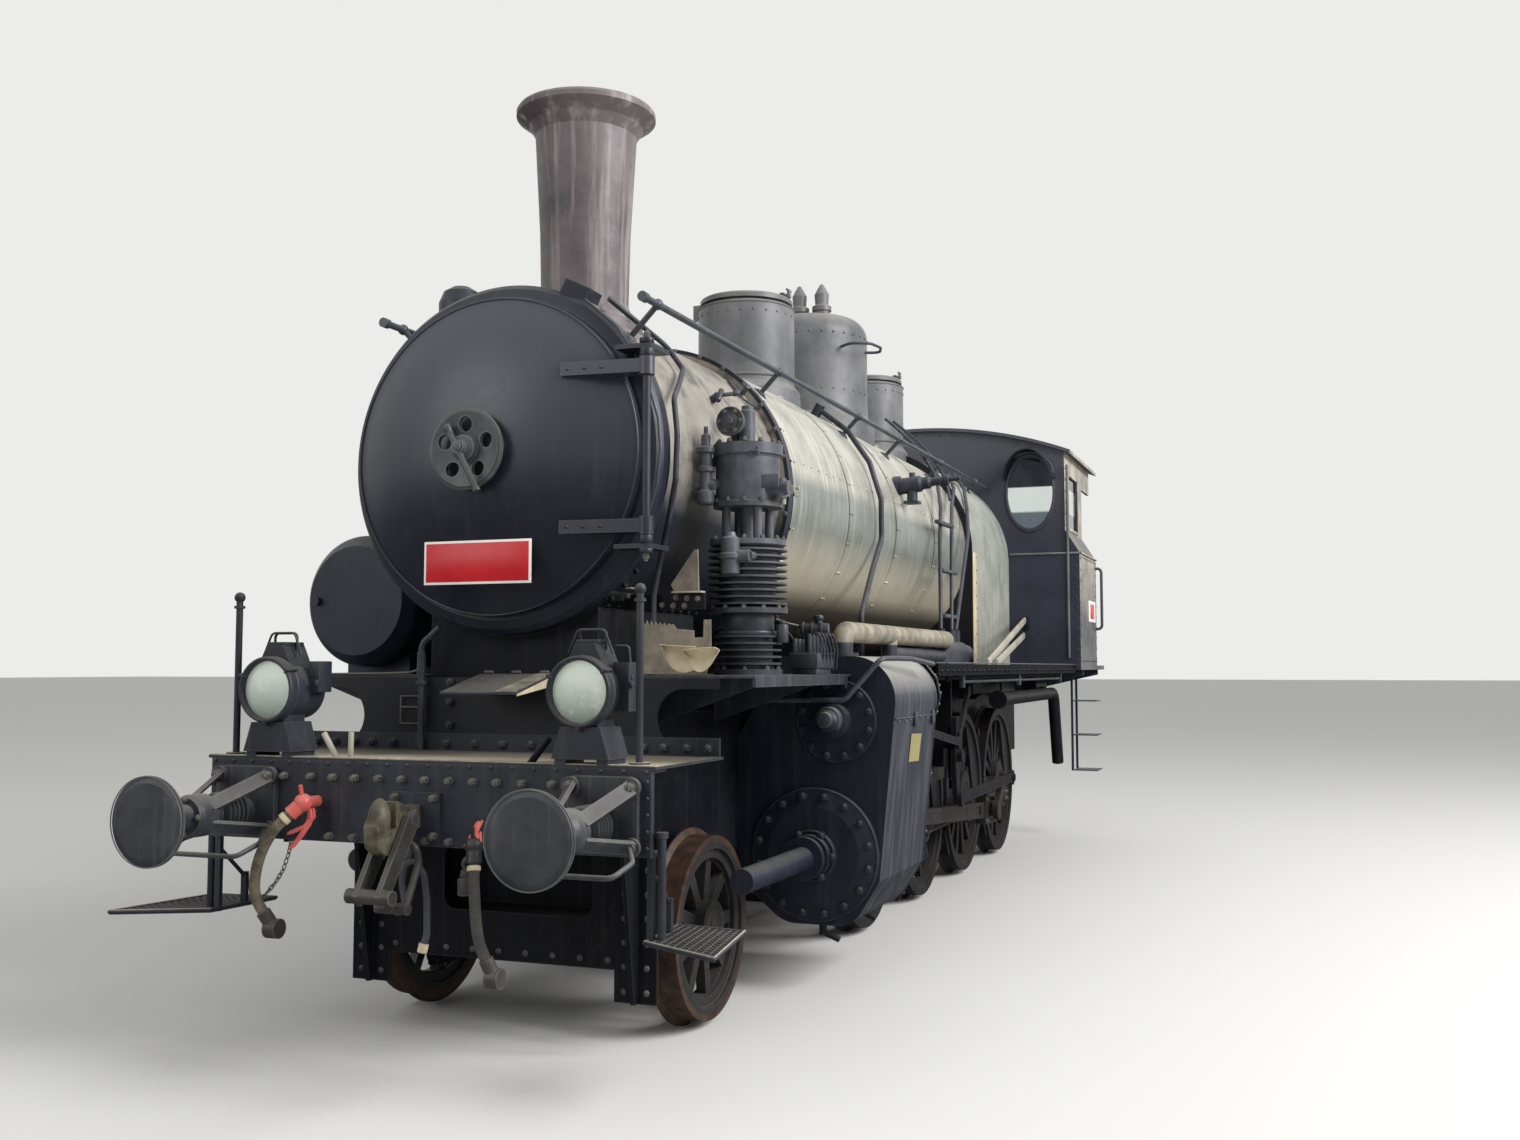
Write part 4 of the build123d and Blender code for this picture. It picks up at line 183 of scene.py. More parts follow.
def whereAll(tree, rows):
    # A mask where all rows hold, each with its values for none and full at the end: a place along an axis or
    # its distance from the middle ("abs X"), a face's direction ("normal Z"), the distance from an axis,
    # patches of a size in mm, or streaks stretched by a scale
    place = tree.nodes["Texture Coordinate"].outputs["Object"]
    whole = None
    for kind, *numbers, low, high in rows:
        words = kind.split()
        if kind == "patches":
            source = addNode(tree, "TexNoise", {"Vector": place, "Scale": 1000 / numbers[0], "Detail": 6,
                                                "Roughness": 0.65}).outputs[0]
        elif kind == "streaks":
            source = addNode(tree, "Mapping", {"Vector": place, "Scale": numbers[0]}).outputs[0]
            source = addNode(tree, "TexNoise", {"Vector": source, "Scale": 1.0, "Detail": 6}).outputs[0]
        elif kind == "distance":
            source = addNode(tree, "Mapping",
                {"Vector": place, "Location": numbers[0], "Scale": numbers[1]}).outputs[0]
            source = addNode(tree, "VectorMath", {0: source}, operation="LENGTH").outputs["Value"]
        else:
            source = addNode(tree, "NewGeometry").outputs["Normal"] if "normal" in words else place
            source = addNode(tree, "SeparateXYZ", {0: source}).outputs[words[-1]]
        if "abs" in words:
            source = addNode(tree, "Math", {0: source}, operation="ABSOLUTE").outputs[0]
        mask = addNode(tree, "MapRange", {"Value": source, "From Min": low, "From Max": high}).outputs[0]
        if whole:
            mask = addNode(tree, "Math", {0: whole, 1: mask}, operation="MULTIPLY").outputs[0]
        whole = mask
    return whole


def layOver(material, rows, colour, most=1.0, blend="MIX"):
    # another colour over the finish where the rows hold: one hex value, or two and the row between them
    tree = material.node_tree
    base = tree.nodes["Principled BSDF"].inputs["Base Color"]
    under = base.links[0].from_socket if base.links else tuple(base.default_value)
    mask = whereAll(tree, rows)
    if most < 1:
        mask = addNode(tree, "Math", {0: mask, 1: most}, operation="MULTIPLY").outputs[0]
    if isinstance(colour, str):
        colour = toLinear(colour)
    else:
        first, second, between = colour
        colour = addNode(tree, "Mix",
            {0: whereAll(tree, [between]), mixA: toLinear(first), mixB: toLinear(second)},
            data_type="RGBA").outputs[mixed]
    both = addNode(tree, "Mix", {0: mask, mixA: under, mixB: colour}, data_type="RGBA", blend_type=blend)
    tree.links.new(both.outputs[mixed], base)
    return mask


# dull, oil-soaked paint, nearly black in the shade under the boards
frameBlack = paintedIron("oilyBlackFrameIron", "#111217", "#1b1c22", "#453f39", dusty=0.6, rusty=0.45,
                         sheen=0.1)
# repainted beam with a soft sheen, a little grey dust and chipped edges
beamBlack = paintedIron("wornBlackBeamIron", "#22242c", "#31343d", "#7d7970", runs=0.1, dent=0.003,
                        sheen=0.3)
# painted shade: the apron plate behind the beam is laid over darker, as it stands in shade
layOver(beamBlack, [("Y", -4.03, -4.022)], "#0f1017", 0.8)
# dust trodden into the deck, pale at its front edge, browner towards the smokebox
layOver(beamBlack, [("normal Z", 0.8, 0.95), ("Z", 1.295, 1.3), ("Z", 1.33, 1.32), ("Y", -3.95, -4.3),
                    ("patches", 150, 0.2, 0.5)], ("#bdb39c", "#6e675b", ("Y", -4.62, -4.35)))
# the hook itself is greased bare metal
layOver(beamBlack, [("Y", -4.733, -4.738), ("X", 0.2, 0.19), ("X", -0.2, -0.19), ("Z", 1.28, 1.27)],
        ("#3c3932", "#67624f", ("patches", 60, 0.35, 0.65)))
# heat-proof black in the front; behind the front ring the drum's upper side is faded to a dusty beige grey,
# partly dust and partly painted sunlight, and its lower part is left black as painted shade
smokeboxBlack = paintedIron("heatProofGraphiteBlack", "#161a26", "#212632", "#6b6a66", patch=600,
                            rough=(0.34, 0.48), dent=0.002, runs=0.08, rusty=0.12, dusty=0.35)
layOver(smokeboxBlack,
    [("Y", -3.985, -3.975), ("Y", -2.43, -2.435), ("Z", 2.4, 2.66), ("patches", 180, 0.28, 0.5),
    ("distance", (0, 0, -2.675), (1, 0, 1), 0.835, 0.83)],
    ("#7f7a72", "#a19a90", ("patches", 300, 0.35, 0.65)))
# even and satin on the door, so that the sky lies on it as a soft gradient
doorBlack = paintedIron("satinDoorBlack", "#121724", "#1c2230", "#6b6a66", patch=700,
                        rough=(0.28, 0.4), dent=0.003, runs=0.06, rusty=0.1, dusty=0.3, sheen=0.5)
# painted reflection: the door is laid over lighter towards the top, standing in for the sky's sheen
layOver(doorBlack, [("Z", 2.55, 3.5)], "#4a4f59", 0.75)
# hand wheel: dark paint with the rim rubbed to steel
wheelIron = paintedIron("rubbedHandWheelIron", "#2a2c2f", "#45474a", "#75706a", bare="#9a9994",
                        edge=0.95, rough=(0.3, 0.5))
# cast stack burnt to a violet brown, paler where the rain runs down
chimneyBlack = paintedIron("heatBrownedCastIron", "#463f44", "#6a6063", "#c0b8b0", patch=420,
                           runs=0.5, dusty=0.4, runScale=(14, 14, 0.7))
# steel lagging sheets: a worn metallic grey, streaked round the barrel, yellowed low down
laggingSheet = paintedIron("wornLaggingSheetSteel", "#9b9990", "#bebbb1", "#e9e6dc", patch=320,
                           runs=0.75, rough=(0.3, 0.46), metal=0.45, dent=0.005, dusty=0.55, rusty=0.12,
                           runScale=(1.6, 26, 1.6))
layOver(laggingSheet, [("Z", 2.75, 1.95), ("patches", 420, 0.35, 0.7)], "#bbb093", 0.6)
# painted light and shade: bright above the lap seam and cooler below it, a painted reflection that darkens
# the band where the sky isn't mirrored; painted warm light underneath, painted shade at the very bottom, and
# black along the front edge
layOver(laggingSheet, [("Z", 2.82, 2.74), ("Z", 2.28, 2.5)], "#c3cccf", blend="MULTIPLY")
# painted light: warmer and paler underneath
layOver(laggingSheet, [("Z", 2.5, 2.2)], "#dcd2b8", 0.7)
# painted shade at the very bottom
layOver(laggingSheet, [("Z", 2.18, 2.06)], "#443a37", 0.85)
layOver(laggingSheet, [("Y", -2.37, -2.374)], "#1b1b1f")
# firebox cladding: dull green grey, less bright than the barrel, with painted shade on its front faces and
# below the board
fireboxSheet = paintedIron("dullFireboxCladding", "#898c85", "#acaea5", "#c8c6ba", patch=300, runs=0.6,
    rough=(0.36, 0.52), metal=0.2, dent=0.005, rusty=0.2, runScale=(1.6, 20, 1.2))
layOver(fireboxSheet, [("normal Y", -0.5, -0.8)], "#17181e")
layOver(fireboxSheet, [("Z", 1.72, 1.69)], "#17181e")
# domes: mid grey satin with pale rain streaks
domeBlack = paintedIron("satinGreyDomeSheet", "#525357", "#6e6e70", "#aeaaa2", runs=0.12, dent=0.002,
                        rough=(0.36, 0.5), runScale=(9, 9, 1.2))
# wheels: greasy black centres, the leading pair's treads brown with fresh rust
wheelBlack = paintedIron("greasyWheelPaint", "#15161a", "#242427", "#4f463d", rust="#6a4630",
                         rusty=0.6, dusty=0.4, sheen=0.2)
leadWheelBlack = paintedIron("rustyTreadWheelPaint", "#1d1d1f", "#2d2c2c", "#51483f", rust="#6a4630",
                             rusty=0.6, dusty=0.4)
layOver(leadWheelBlack, [("distance", (0, 3.46, -0.463), (0, 1, 1), 0.395, 0.405)],
        ("#2e231d", "#4a362b", ("patches", 60, 0.35, 0.65)))
# rods: oiled forged steel under a skin of black grease
rodSteel = paintedIron("oiledForgedSteel", "#1f1e1f", "#383735", "#5c554b", rough=(0.3, 0.5),
                       metal=0.45)
# cylinders: black front covers, the sheet cladding on the sides faded and streaked, dust on the shoulder
cylinderBlack = paintedIron("satinCylinderCasting", "#181c29", "#232836", "#6f6d67", runs=0.12,
                            dent=0.003, sheen=0.3)
layOver(cylinderBlack, [("abs normal Y", 0.5, 0.1), ("Y", -2.62, -2.6)],
        ("#292c35", "#43464d", ("streaks", (20, 20, 1.2), 0.38, 0.66)))
layOver(cylinderBlack, [("normal Z", 0.12, 0.75), ("Z", 1.5, 1.56), ("Y", -2.62, -2.6)], "#a3a19b", 0.85)
# foot plates: scuffed black with grey-brown dust lying on them, the outer faces painted dark as shade and
# with less sheen
boardBlack = paintedIron("scuffedBoardPlate", "#1f2229", "#30333b", "#7f7a71", dusty=0.6)
# painted shade on the outer faces of the boards
shadedOuterFaces = layOver(boardBlack, [("normal Z", 0.5, 0.2), ("Y", -2.2, -2.1)], "#101117")
tree = boardBlack.node_tree
glint = addNode(tree, "Math", {0: shadedOuterFaces, 1: -0.38, 2: 0.4}, operation="MULTIPLY_ADD").outputs[0]
tree.links.new(glint, tree.nodes["Principled BSDF"].inputs["Specular IOR Level"])
railBlack = paintedIron("smoothRailPaint", "#31343c", "#444751", "#77756f", dusty=0.3,
                        rough=(0.3, 0.45))
# cab: matt black front sheets, paler high up, and dusty brown-grey sides
cabBlack = paintedIron("mattBlackCabSheet", "#202431", "#2b303e", "#76746f", dent=0.005, runs=0.03,
                       rough=(0.4, 0.6))
layOver(cabBlack, [("Z", 2.75, 3.8)], "#55555b", 0.65)
layOver(cabBlack, [("abs normal X", 0.8, 0.95), ("abs X", 1.37, 1.39), ("patches", 380, 0.25, 0.6)],
        ("#6c6a69", "#c4bba8", ("Z", 2.1, 2.8)), 0.8)
# pump: sooty casting with rubbed flanges, darker at its foot
pumpIron = paintedIron("sootyPumpCasting", "#3a3e46", "#575b62", "#918d84", patch=160, edge=0.8,
                       rough=(0.3, 0.5))
layOver(pumpIron, [("Z", 2.25, 1.95)], "#22252d", 0.7)
tankBlack = paintedIron("satinTankPaint", "#141929", "#1f2534", "#6f6e6a", rough=(0.34, 0.5),
                        runs=0.06, sheen=0.35)
# pipes: black paint, and stained cream lagging on the thick pipe along the left board
pipePaint = paintedIron("blackPipePaint", "#20222b", "#32343f", "#757478", rusty=0.4, edge=0.3)
layOver(pipePaint, [("X", 1.035, 1.045), ("Y", 0.12, 0.1), ("Z", 1.832, 1.838), ("Z", 1.96, 1.955)],
        ("#6c675b", "#a59d89", ("patches", 120, 0.35, 0.65)))
# brake cocks: coral red gloss on the right one; the left one is black with red straps
cockRed = paintedIron("coralRedGlossPaint", "#c2524a", "#e07a70", "#d8a9a0", bare="#7d3a35",
                      rough=(0.3, 0.5), rusty=0.2)
layOver(cockRed, [("X", -0.1, 0.1)], "#2c2c2e")
cockStrapRed = paintedIron("fadedRedStrap", "#cf4f4a", "#ea7f78", "#e0a59e", rusty=0.0, runs=0.0,
                           rough=(0.5, 0.7))
couplingIron = paintedIron("rustyCouplingIron", "#2a2a2b", "#494742", "#6f685e", bare="#8d8983",
                           edge=0.8, rusty=0.5, rough=(0.34, 0.55))
# buffers and struts: dusty pale grey over black
bufferIron = paintedIron("dustyBufferIron", "#272a31", "#414349", "#7f7b73", dusty=0.8, edge=0.7,
                         bare="#8c8a84", rough=(0.34, 0.52))
boltIron = paintedIron("rubbedBoltIron", "#2c2d2f", "#4a4947", "#8b867c", bare="#8f8b83", edge=0.9,
                       patch=60, rusty=0.4, rough=(0.35, 0.55))
deckDust = paintedIron("dustyWornDeckEdge", "#7b7467", "#b3aa95", "#cdc4ae", patch=90,
                       bare="#4a463f")
# blank enamel plates, glossy and even, and the paper tag
plateRed = paintedIron("signalRedEnamel", "#b4141f", "#cc1a26", "#cf8a86", dusty=0.1, runs=0.0,
                       rusty=0.0, edge=0.0, rough=(0.22, 0.32))
plateWhite = paintedIron("whiteEnamelBorder", "#e4e2dc", "#f1efe9", "#cfcbc0", dusty=0.1, runs=0.05,
                         rusty=0.05, edge=0.0, rough=(0.25, 0.35))
tagYellow = paintedIron("faintYellowPaper", "#7f7850", "#928b60", "#958f76", runs=0.0, rusty=0.0,
                        edge=0.0, rough=(0.7, 0.85))
# torn tin: brown grey; the curved pieces in front of it are bare and cream
tornTin = paintedIron("brownTornTin", "#6f665a", "#978c7d", "#b3a894", patch=80, bare="#b9b09f")
creamTin = paintedIron("creamTinplate", "#b3a589", "#d0c3a4", "#ddd2b8", patch=120, runs=0.1,
                       rusty=0.15)
shelfDust = paintedIron("patchyShelfDust", "#57544e", "#a59d8b", "#8d877a", patch=110, dusty=0.3)
# pale grey for bleached tin, and for painted highlights on the bracket ledges
blindGrey = paintedIron("bleachedTinAndHighlightGrey", "#8f8b80", "#b4af9f", "#c9c3b2", bare="#6a6459")
# hose rubber: perished to a dusty olive brown, darker on the newer left hose
hoseRubber = paintedIron("perishedHoseRubber", "#4a443a", "#7d7462", "#8d8573", patch=70, grain=3,
                         rusty=0.0, runs=0.0, edge=0.0, rough=(0.7, 0.9), sheen=0.2)
layOver(hoseRubber, [("X", 0.0, 0.05)], "#36373b", 0.75)
# cab panes: clear in the middle, darker low down, and painted shade under the hood
paneGlass, tree, shader = newMaterial("windowGlass")
addNode(tree, "TexCoord")
shader.inputs["Base Color"].default_value = toLinear("#6a747c")
layOver(paneGlass, [("Z", 3.15, 3.17)], "#e6ede9")
# painted shade of the hood on the upper glass
layOver(paneGlass, [("Z", 3.39, 3.4)], "#2b2d33")
shader.inputs["Roughness"].default_value = 0.04
shader.inputs["IOR"].default_value = 1.5
shader.inputs["Transmission Weight"].default_value = 1.0
# lamp glass: pale green, clouded, darker towards its foot where it mirrors the deck
lensGlass, tree, shader = newMaterial("paleLampGlass")
addNode(tree, "TexCoord")
shader.inputs["Base Color"].default_value = toLinear("#8b978d")
layOver(lensGlass, [("Z", 1.49, 1.66)], "#dfeade")
layOver(lensGlass, [("patches", 90, 0.5, 0.75)], "#e9ebe1")
shader.inputs["Roughness"].default_value = 0.14
shader.inputs["Coat Weight"].default_value = 0.7

finishes = (
    # the smokebox saddle takes the darkest black as painted shade
    (frameBlack, "frame_plates frame_stretchers guard_irons axle_boxes leaf_springs brake_gear ashpan "
                 "motion_brackets valve_gear injector smokebox_saddle"),
    (beamBlack, "buffer_beam front_deck front_steps headlamps draw_hook"),
    (bufferIron, "buffer_stocks buffer_plungers"),
    (smokeboxBlack, "smokebox"),
    (doorBlack, "smokebox_door"),
    (wheelIron, "door_handwheel"),
    (chimneyBlack, "chimney"),
    (laggingSheet, "boiler_barrel"),
    (fireboxSheet, "firebox"),
    (domeBlack, "sand_domes steam_dome sand_lid_front sand_lid_rear safety_valves"),
    (leadWheelBlack, "lead_wheelset"),
    (wheelBlack, "coupled_wheelset_1 coupled_wheelset_2 coupled_wheelset_3 coupled_wheelset_4"),
    (rodSteel, "coupling_rod_left coupling_rod_right main_rod_left main_rod_right crosshead_left "
               "crosshead_right slide_bars"),
    (cylinderBlack, "cylinders"),
    (boardBlack, "running_boards"),
    (railBlack, "handrails"),
    (cabBlack, "cab_front cab_sides cab_roof cab_floor"),
    (paneGlass, "cab_windows"),
    (lensGlass, "lamp_glasses"),
    (pumpIron, "compressor backhead_fittings"),
    (tankBlack, "air_reservoir"),
    (pipePaint, "steam_pipes"),
    (cockRed, "hose_cocks"),
    (couplingIron, "coupling_links hose_couplings"),
)
for finish, names in finishes:
    dress(finish, *names.split())
print("finishes done")

# the buffer faces stand this far ahead of the model's middle, and the rail's top this far over its floor
bufferReach, railTop = 5.31, 0.028
boilerAxis = 2647
sides = (-1, 1)
# directions that faces and bolts look to
ahead, behind, upright = (0, -1, 0), (0, 1, 0), (0, 0, 1)

hoses = {
    "brake_hose_left": {"length": 0.386, "radius": 0.023, "points": [
        (330, 520, 880), (338, 507, 815), (350, 497, 745), (360, 490, 670), (370, 490, 600),
        (384, 494, 545), (400, 505, 505)]},
    "brake_hose_right": {"length": 0.462, "radius": 0.023, "points": [
        (-545, 470, 1050), (-580, 442, 1010), (-618, 424, 950), (-650, 415, 880), (-672, 415, 805),
        (-682, 422, 735), (-676, 434, 680), (-655, 448, 640)]},
}
for name, hose in hoses.items():
    points = [(x / 1000, y / 1000 - bufferReach, z / 1000 + railTop) for x, y, z in hose["points"]]
    curve = bpy.data.curves.new(name + "_rubber", "CURVE")
    curve.dimensions = "3D"
    curve.bevel_depth = hose["radius"]
    curve.bevel_resolution = 6
    curve.resolution_u = 12
    curve.use_fill_caps = True
    spline = curve.splines.new("NURBS")
    spline.points.add(len(points) - 1)
    for point, place in zip(spline.points, points):
        point.co = (*place, 1)
    spline.order_u = 3
    spline.use_endpoint_u = True
    piece = bpy.data.objects.new(name + "_rubber", curve)
    bpy.context.scene.collection.objects.link(piece)
    curve.materials.append(hoseRubber)
    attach(piece, "root")
    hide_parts(name)
print("hoses done")


def at(x, y, z):
    # mm across, behind the buffer faces and above the rail, to the model's metres
    return Vector((x / 1000, y / 1000 - bufferReach, z / 1000 + railTop))


def deselectAll():
    if bpy.context.object and bpy.context.object.mode != "OBJECT":
        bpy.ops.object.mode_set(mode="OBJECT")
    bpy.ops.object.select_all(action="DESELECT")


def pickOnly(piece):
    deselectAll()
    piece.select_set(True)
    bpy.context.view_layer.objects.active = piece


def turnTo(direction, spin=0.0):
    # turn that takes +Z to a direction
    return Vector(direction).to_track_quat("Z", "Y").to_matrix().to_4x4() @ Matrix.Rotation(spin, 4, "Z")


def joinAll(pieces):
    deselectAll()
    for piece in pieces:
        piece.select_set(True)
    bpy.context.view_layer.objects.active = pieces[0]
    bpy.ops.object.join()
    return bpy.context.object


def settle(piece, name, material, body="root", smooth=35):
    # the place goes into the mesh, and the piece, or a list joined to one, gets finish and body
    if isinstance(piece, list):
        piece = joinAll(piece)
    pickOnly(piece)
    bpy.ops.object.transform_apply(location=True, rotation=True, scale=True)
    if smooth:
        bpy.ops.object.shade_smooth_by_angle(angle=math.radians(smooth))
    piece.name = piece.data.name = name
    piece.data.materials.clear()
    piece.data.materials.append(material)
    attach(piece, body)


def facesWhere(piece, test):
    # selects faces in code, then opens edit mode
    pickOnly(piece)
    bpy.ops.object.mode_set(mode="EDIT")
    bpy.ops.mesh.select_mode(type="FACE")
    bpy.ops.mesh.select_all(action="DESELECT")
    bpy.ops.object.mode_set(mode="OBJECT")
    for face in piece.data.polygons:
        face.select = test(face)
    bpy.ops.object.mode_set(mode="EDIT")


def barBlock(low, high, round=2):
    # a bar or plate between two corners in mm, with broken edges
    deselectAll()
    first, last = at(*low), at(*high)
    bpy.ops.mesh.primitive_cube_add(size=1, location=(first + last) / 2)
    piece = bpy.context.object
    piece.scale = [abs(v) for v in last - first]
    bpy.ops.object.transform_apply(location=False, rotation=False, scale=True)
    edge = piece.modifiers.new("edge", "BEVEL")
    edge.width = round / 1000
    edge.segments = 2
    edge.angle_limit = math.radians(40)
    bpy.ops.object.modifier_apply(modifier="edge")
    return piece


def roundBar(start, end, radius, round=2, around=24):
    # a turned bar between two points in mm, with broken ends
    deselectAll()
    first, last = at(*start), at(*end)
    bpy.ops.mesh.primitive_cylinder_add(vertices=around, radius=radius / 1000, depth=(last - first).length)
    piece = bpy.context.object
    piece.matrix_world = Matrix.Translation((first + last) / 2) @ turnTo(last - first)
    if round:
        facesWhere(piece, lambda face: len(face.vertices) > 4)
        bpy.ops.mesh.bevel(offset=round / 1000, segments=2)
        bpy.ops.object.mode_set(mode="OBJECT")
    return piece


def bentPipe(points, radius, corner=60, roundness=2):
    # a pipe along points in mm, its corners bent to a radius
    points = [Vector(point) for point in points]
    route = points
    if corner:
        route = [points[0]]
        for before, here, after in zip(points, points[1:], points[2:]):
            back, on = before - here, after - here
            reach = min(corner / math.tan(back.angle(on) / 2), 0.48 * back.length, 0.48 * on.length)
            first, last = here + back.normalized() * reach, here + on.normalized() * reach
            for part in [step / 6 for step in range(7)]:
                route.append((1 - part) ** 2 * first + 2 * part * (1 - part) * here + part ** 2 * last)
        route.append(points[-1])
    curve = bpy.data.curves.new("pipe", "CURVE")
    curve.dimensions = "3D"
    curve.bevel_depth = radius / 1000
    curve.bevel_resolution = roundness
    curve.use_fill_caps = True
    spline = curve.splines.new("POLY")
    spline.points.add(len(route) - 1)
    for point, place in zip(spline.points, route):
        point.co = (*at(*place), 1)
    piece = bpy.data.objects.new("pipe", curve)
    bpy.context.scene.collection.objects.link(piece)
    pickOnly(piece)
    bpy.ops.object.convert(target="MESH")
    return bpy.context.object


def roundRing(centre, axis, radius, thick, around=48, squash=(1, 1)):
    # a bar bent to a ring; squash makes it an oval
    deselectAll()
    bpy.ops.mesh.primitive_torus_add(major_segments=around, minor_segments=8, major_radius=radius / 1000,
                                     minor_radius=thick / 1000)
    ring = bpy.context.object
    ring.matrix_world = Matrix.Translation(at(*centre)) @ turnTo(axis) @ Matrix.Diagonal((*squash, 1, 1))
    return ring


def cutPlate(outline, start, thick, axis):
    # a plate from its outline: pairs along the two other axes, drawn at a place on the axis, all in mm
    deselectAll()
    bpy.ops.mesh.primitive_circle_add(vertices=len(outline), radius=1, fill_type="NGON")
    piece = bpy.context.object
    step = [0, 0, 0]
    step["xyz".index(axis)] = thick / 1000
    for vertex, pair in zip(piece.data.vertices, outline):
        place = list(pair)
        place.insert("xyz".index(axis), start)
        vertex.co = at(*place)
    facesWhere(piece, lambda face: True)
    bpy.ops.mesh.extrude_region_move(TRANSFORM_OT_translate={"value": step})
    bpy.ops.mesh.select_all(action="SELECT")
    bpy.ops.mesh.normals_make_consistent(inside=False)
    bpy.ops.object.mode_set(mode="OBJECT")
    return piece


kept = []


def keepBy(piece):
    # an original to copy from: it leaves the scene at the end
    pickOnly(piece)
    bpy.ops.object.transform_apply(location=True, rotation=True, scale=True)
    piece.hide_render = True
    kept.append(piece)
    return piece


def hexBolt(across, height, washer=1.25, stud=0.35):
    # hexagon nut on its washer, with the stud's end proud of it
    radius = across / 2000 / math.cos(math.radians(30))
    end = height * stud / 1000
    parts = []
    for around, wide, low, tall in ((12, radius * washer, 0, 0.003), (6, radius, 0.003, height / 1000),
                                    (10, radius * 0.5, 0.003 + height / 1000, end)):
        deselectAll()
        bpy.ops.mesh.primitive_cylinder_add(vertices=around, radius=wide, depth=tall,
            location=(0, 0, low + tall / 2))
        parts.append(bpy.context.object)
    facesWhere(parts[1], lambda face: face.normal.z > 0.5)
    bpy.ops.mesh.bevel(offset=radius * 0.18, segments=1)
    bpy.ops.object.mode_set(mode="OBJECT")
    return keepBy(joinAll(parts))


def domeRivet(radius):
    # upper part of a low-cut ball
    deselectAll()
    bpy.ops.mesh.primitive_uv_sphere_add(segments=10, ring_count=6, radius=radius / 1000)
    ball = bpy.context.object
    pickOnly(ball)
    bpy.ops.object.mode_set(mode="EDIT")
    bpy.ops.mesh.select_all(action="SELECT")
    bpy.ops.mesh.bisect(plane_co=(0, 0, 0), plane_no=(0, 0, 1), clear_inner=True, use_fill=True)
    bpy.ops.mesh.select_all(action="SELECT")
    bpy.ops.transform.resize(value=(1, 1, 0.72))
    bpy.ops.object.mode_set(mode="OBJECT")
    return keepBy(ball)


def fasten(original, rows, name, material, body="root"):
    # copies of one fastener, each with its own mesh: rows of place in mm and direction of its +Z
    copies = []
    for place, direction in rows:
        copy = original.copy()
        copy.data = original.data.copy()
        copy.hide_render = False
        bpy.context.scene.collection.objects.link(copy)
        copy.matrix_world = Matrix.Translation(at(*place)) @ turnTo(direction)
        copies.append(copy)
    settle(copies, name, material, body)


def boltCircle(centre, axis, radius, count, first=0.0):
    # places round a circle from a first angle in degrees
    turn = turnTo(axis).to_3x3()
    angles = [math.radians(first + 360 * i / count) for i in range(count)]
    return [(tuple(Vector(centre) + turn @ Vector((math.cos(a), math.sin(a), 0)) * radius), axis)
        for a in angles]


def wallRows(y, z, radius, count):
    # places round an upright drum, looking outwards
    ways = [(math.cos(math.tau * i / count), math.sin(math.tau * i / count), 0) for i in range(count)]
    return [((radius * way[0], y + radius * way[1], z), way) for way in ways]


def studRow(first, last, count, way):
    # evenly spaced places between two points
    first, last = Vector(first), Vector(last)
    return [(tuple(first.lerp(last, i / (count - 1))), way) for i in range(count)]


def bothSides(rows):
    # each place again on the engine's other side
    return rows + [((-place[0], place[1], place[2]), (-way[0], way[1], way[2])) for place, way in rows]


def outward(degrees, side=1):
    angle = math.radians(degrees)
    return (side * math.cos(angle), 0, math.sin(angle))


def onBoiler(radius, y, way):
    # a place at a radius from the boiler's axis
    return (radius * way[0], y, boilerAxis + radius * way[2])


# small fasteners, modelled once and copied
beamBolt = hexBolt(28, 24, 1.05)
coverNut = hexBolt(34, 22)
smallNut = hexBolt(20, 12)
boardNut = hexBolt(64, 10, 1.3, 0.1)
plateRivet = domeRivet(15)
smallRivet = domeRivet(9)

# buffer beam: bolts where the photograph shows them, flange rivets and the pale worn nosing of the deck
beam = {"face": 600, "flangeZ": 1258, "hookPlate": (95, 584, 78),
        "bolts": ((1200, (-678, -538, -424, -309, -190, -74, 40, 159, 275, 387, 506, 642)),
                  (950, (-436, -311, 51, 163)))}
face = beam["face"]
fasten(beamBolt, [((x, face, z), ahead) for z, places in beam["bolts"] for x in places], "beamBolts",
    boltIron)
across, plateFace, up = beam["hookPlate"]
fasten(beamBolt, [((side * across, plateFace, 1050 + rise * up), ahead) for side in sides
                  for rise in sides], "hookPlateBolts", boltIron)
rows = studRow((-1060, face, beam["flangeZ"]), (1060, face, beam["flangeZ"]), 22, ahead)
for x in (-1064, 1064):
    rows += studRow((x, face, 960), (x, face, 1220), 5, ahead)
fasten(smallRivet, rows, "beamRivets", beamBlack)
settle(barBlock((-1098, 600.5, 1280), (1098, 636, 1285), 1.5), "deckNosing", deckDust)
settle([roundBar((-454, 660, 1276), (-526, 660, 1384), 13),
    roundBar((-384, 660, 1276), (-382, 660, 1392), 12)], "deckPegs", blindGrey)
settle(roundBar((524, 622, 1276), (602, 642, 1384), 15), "deckLever", frameBlack)
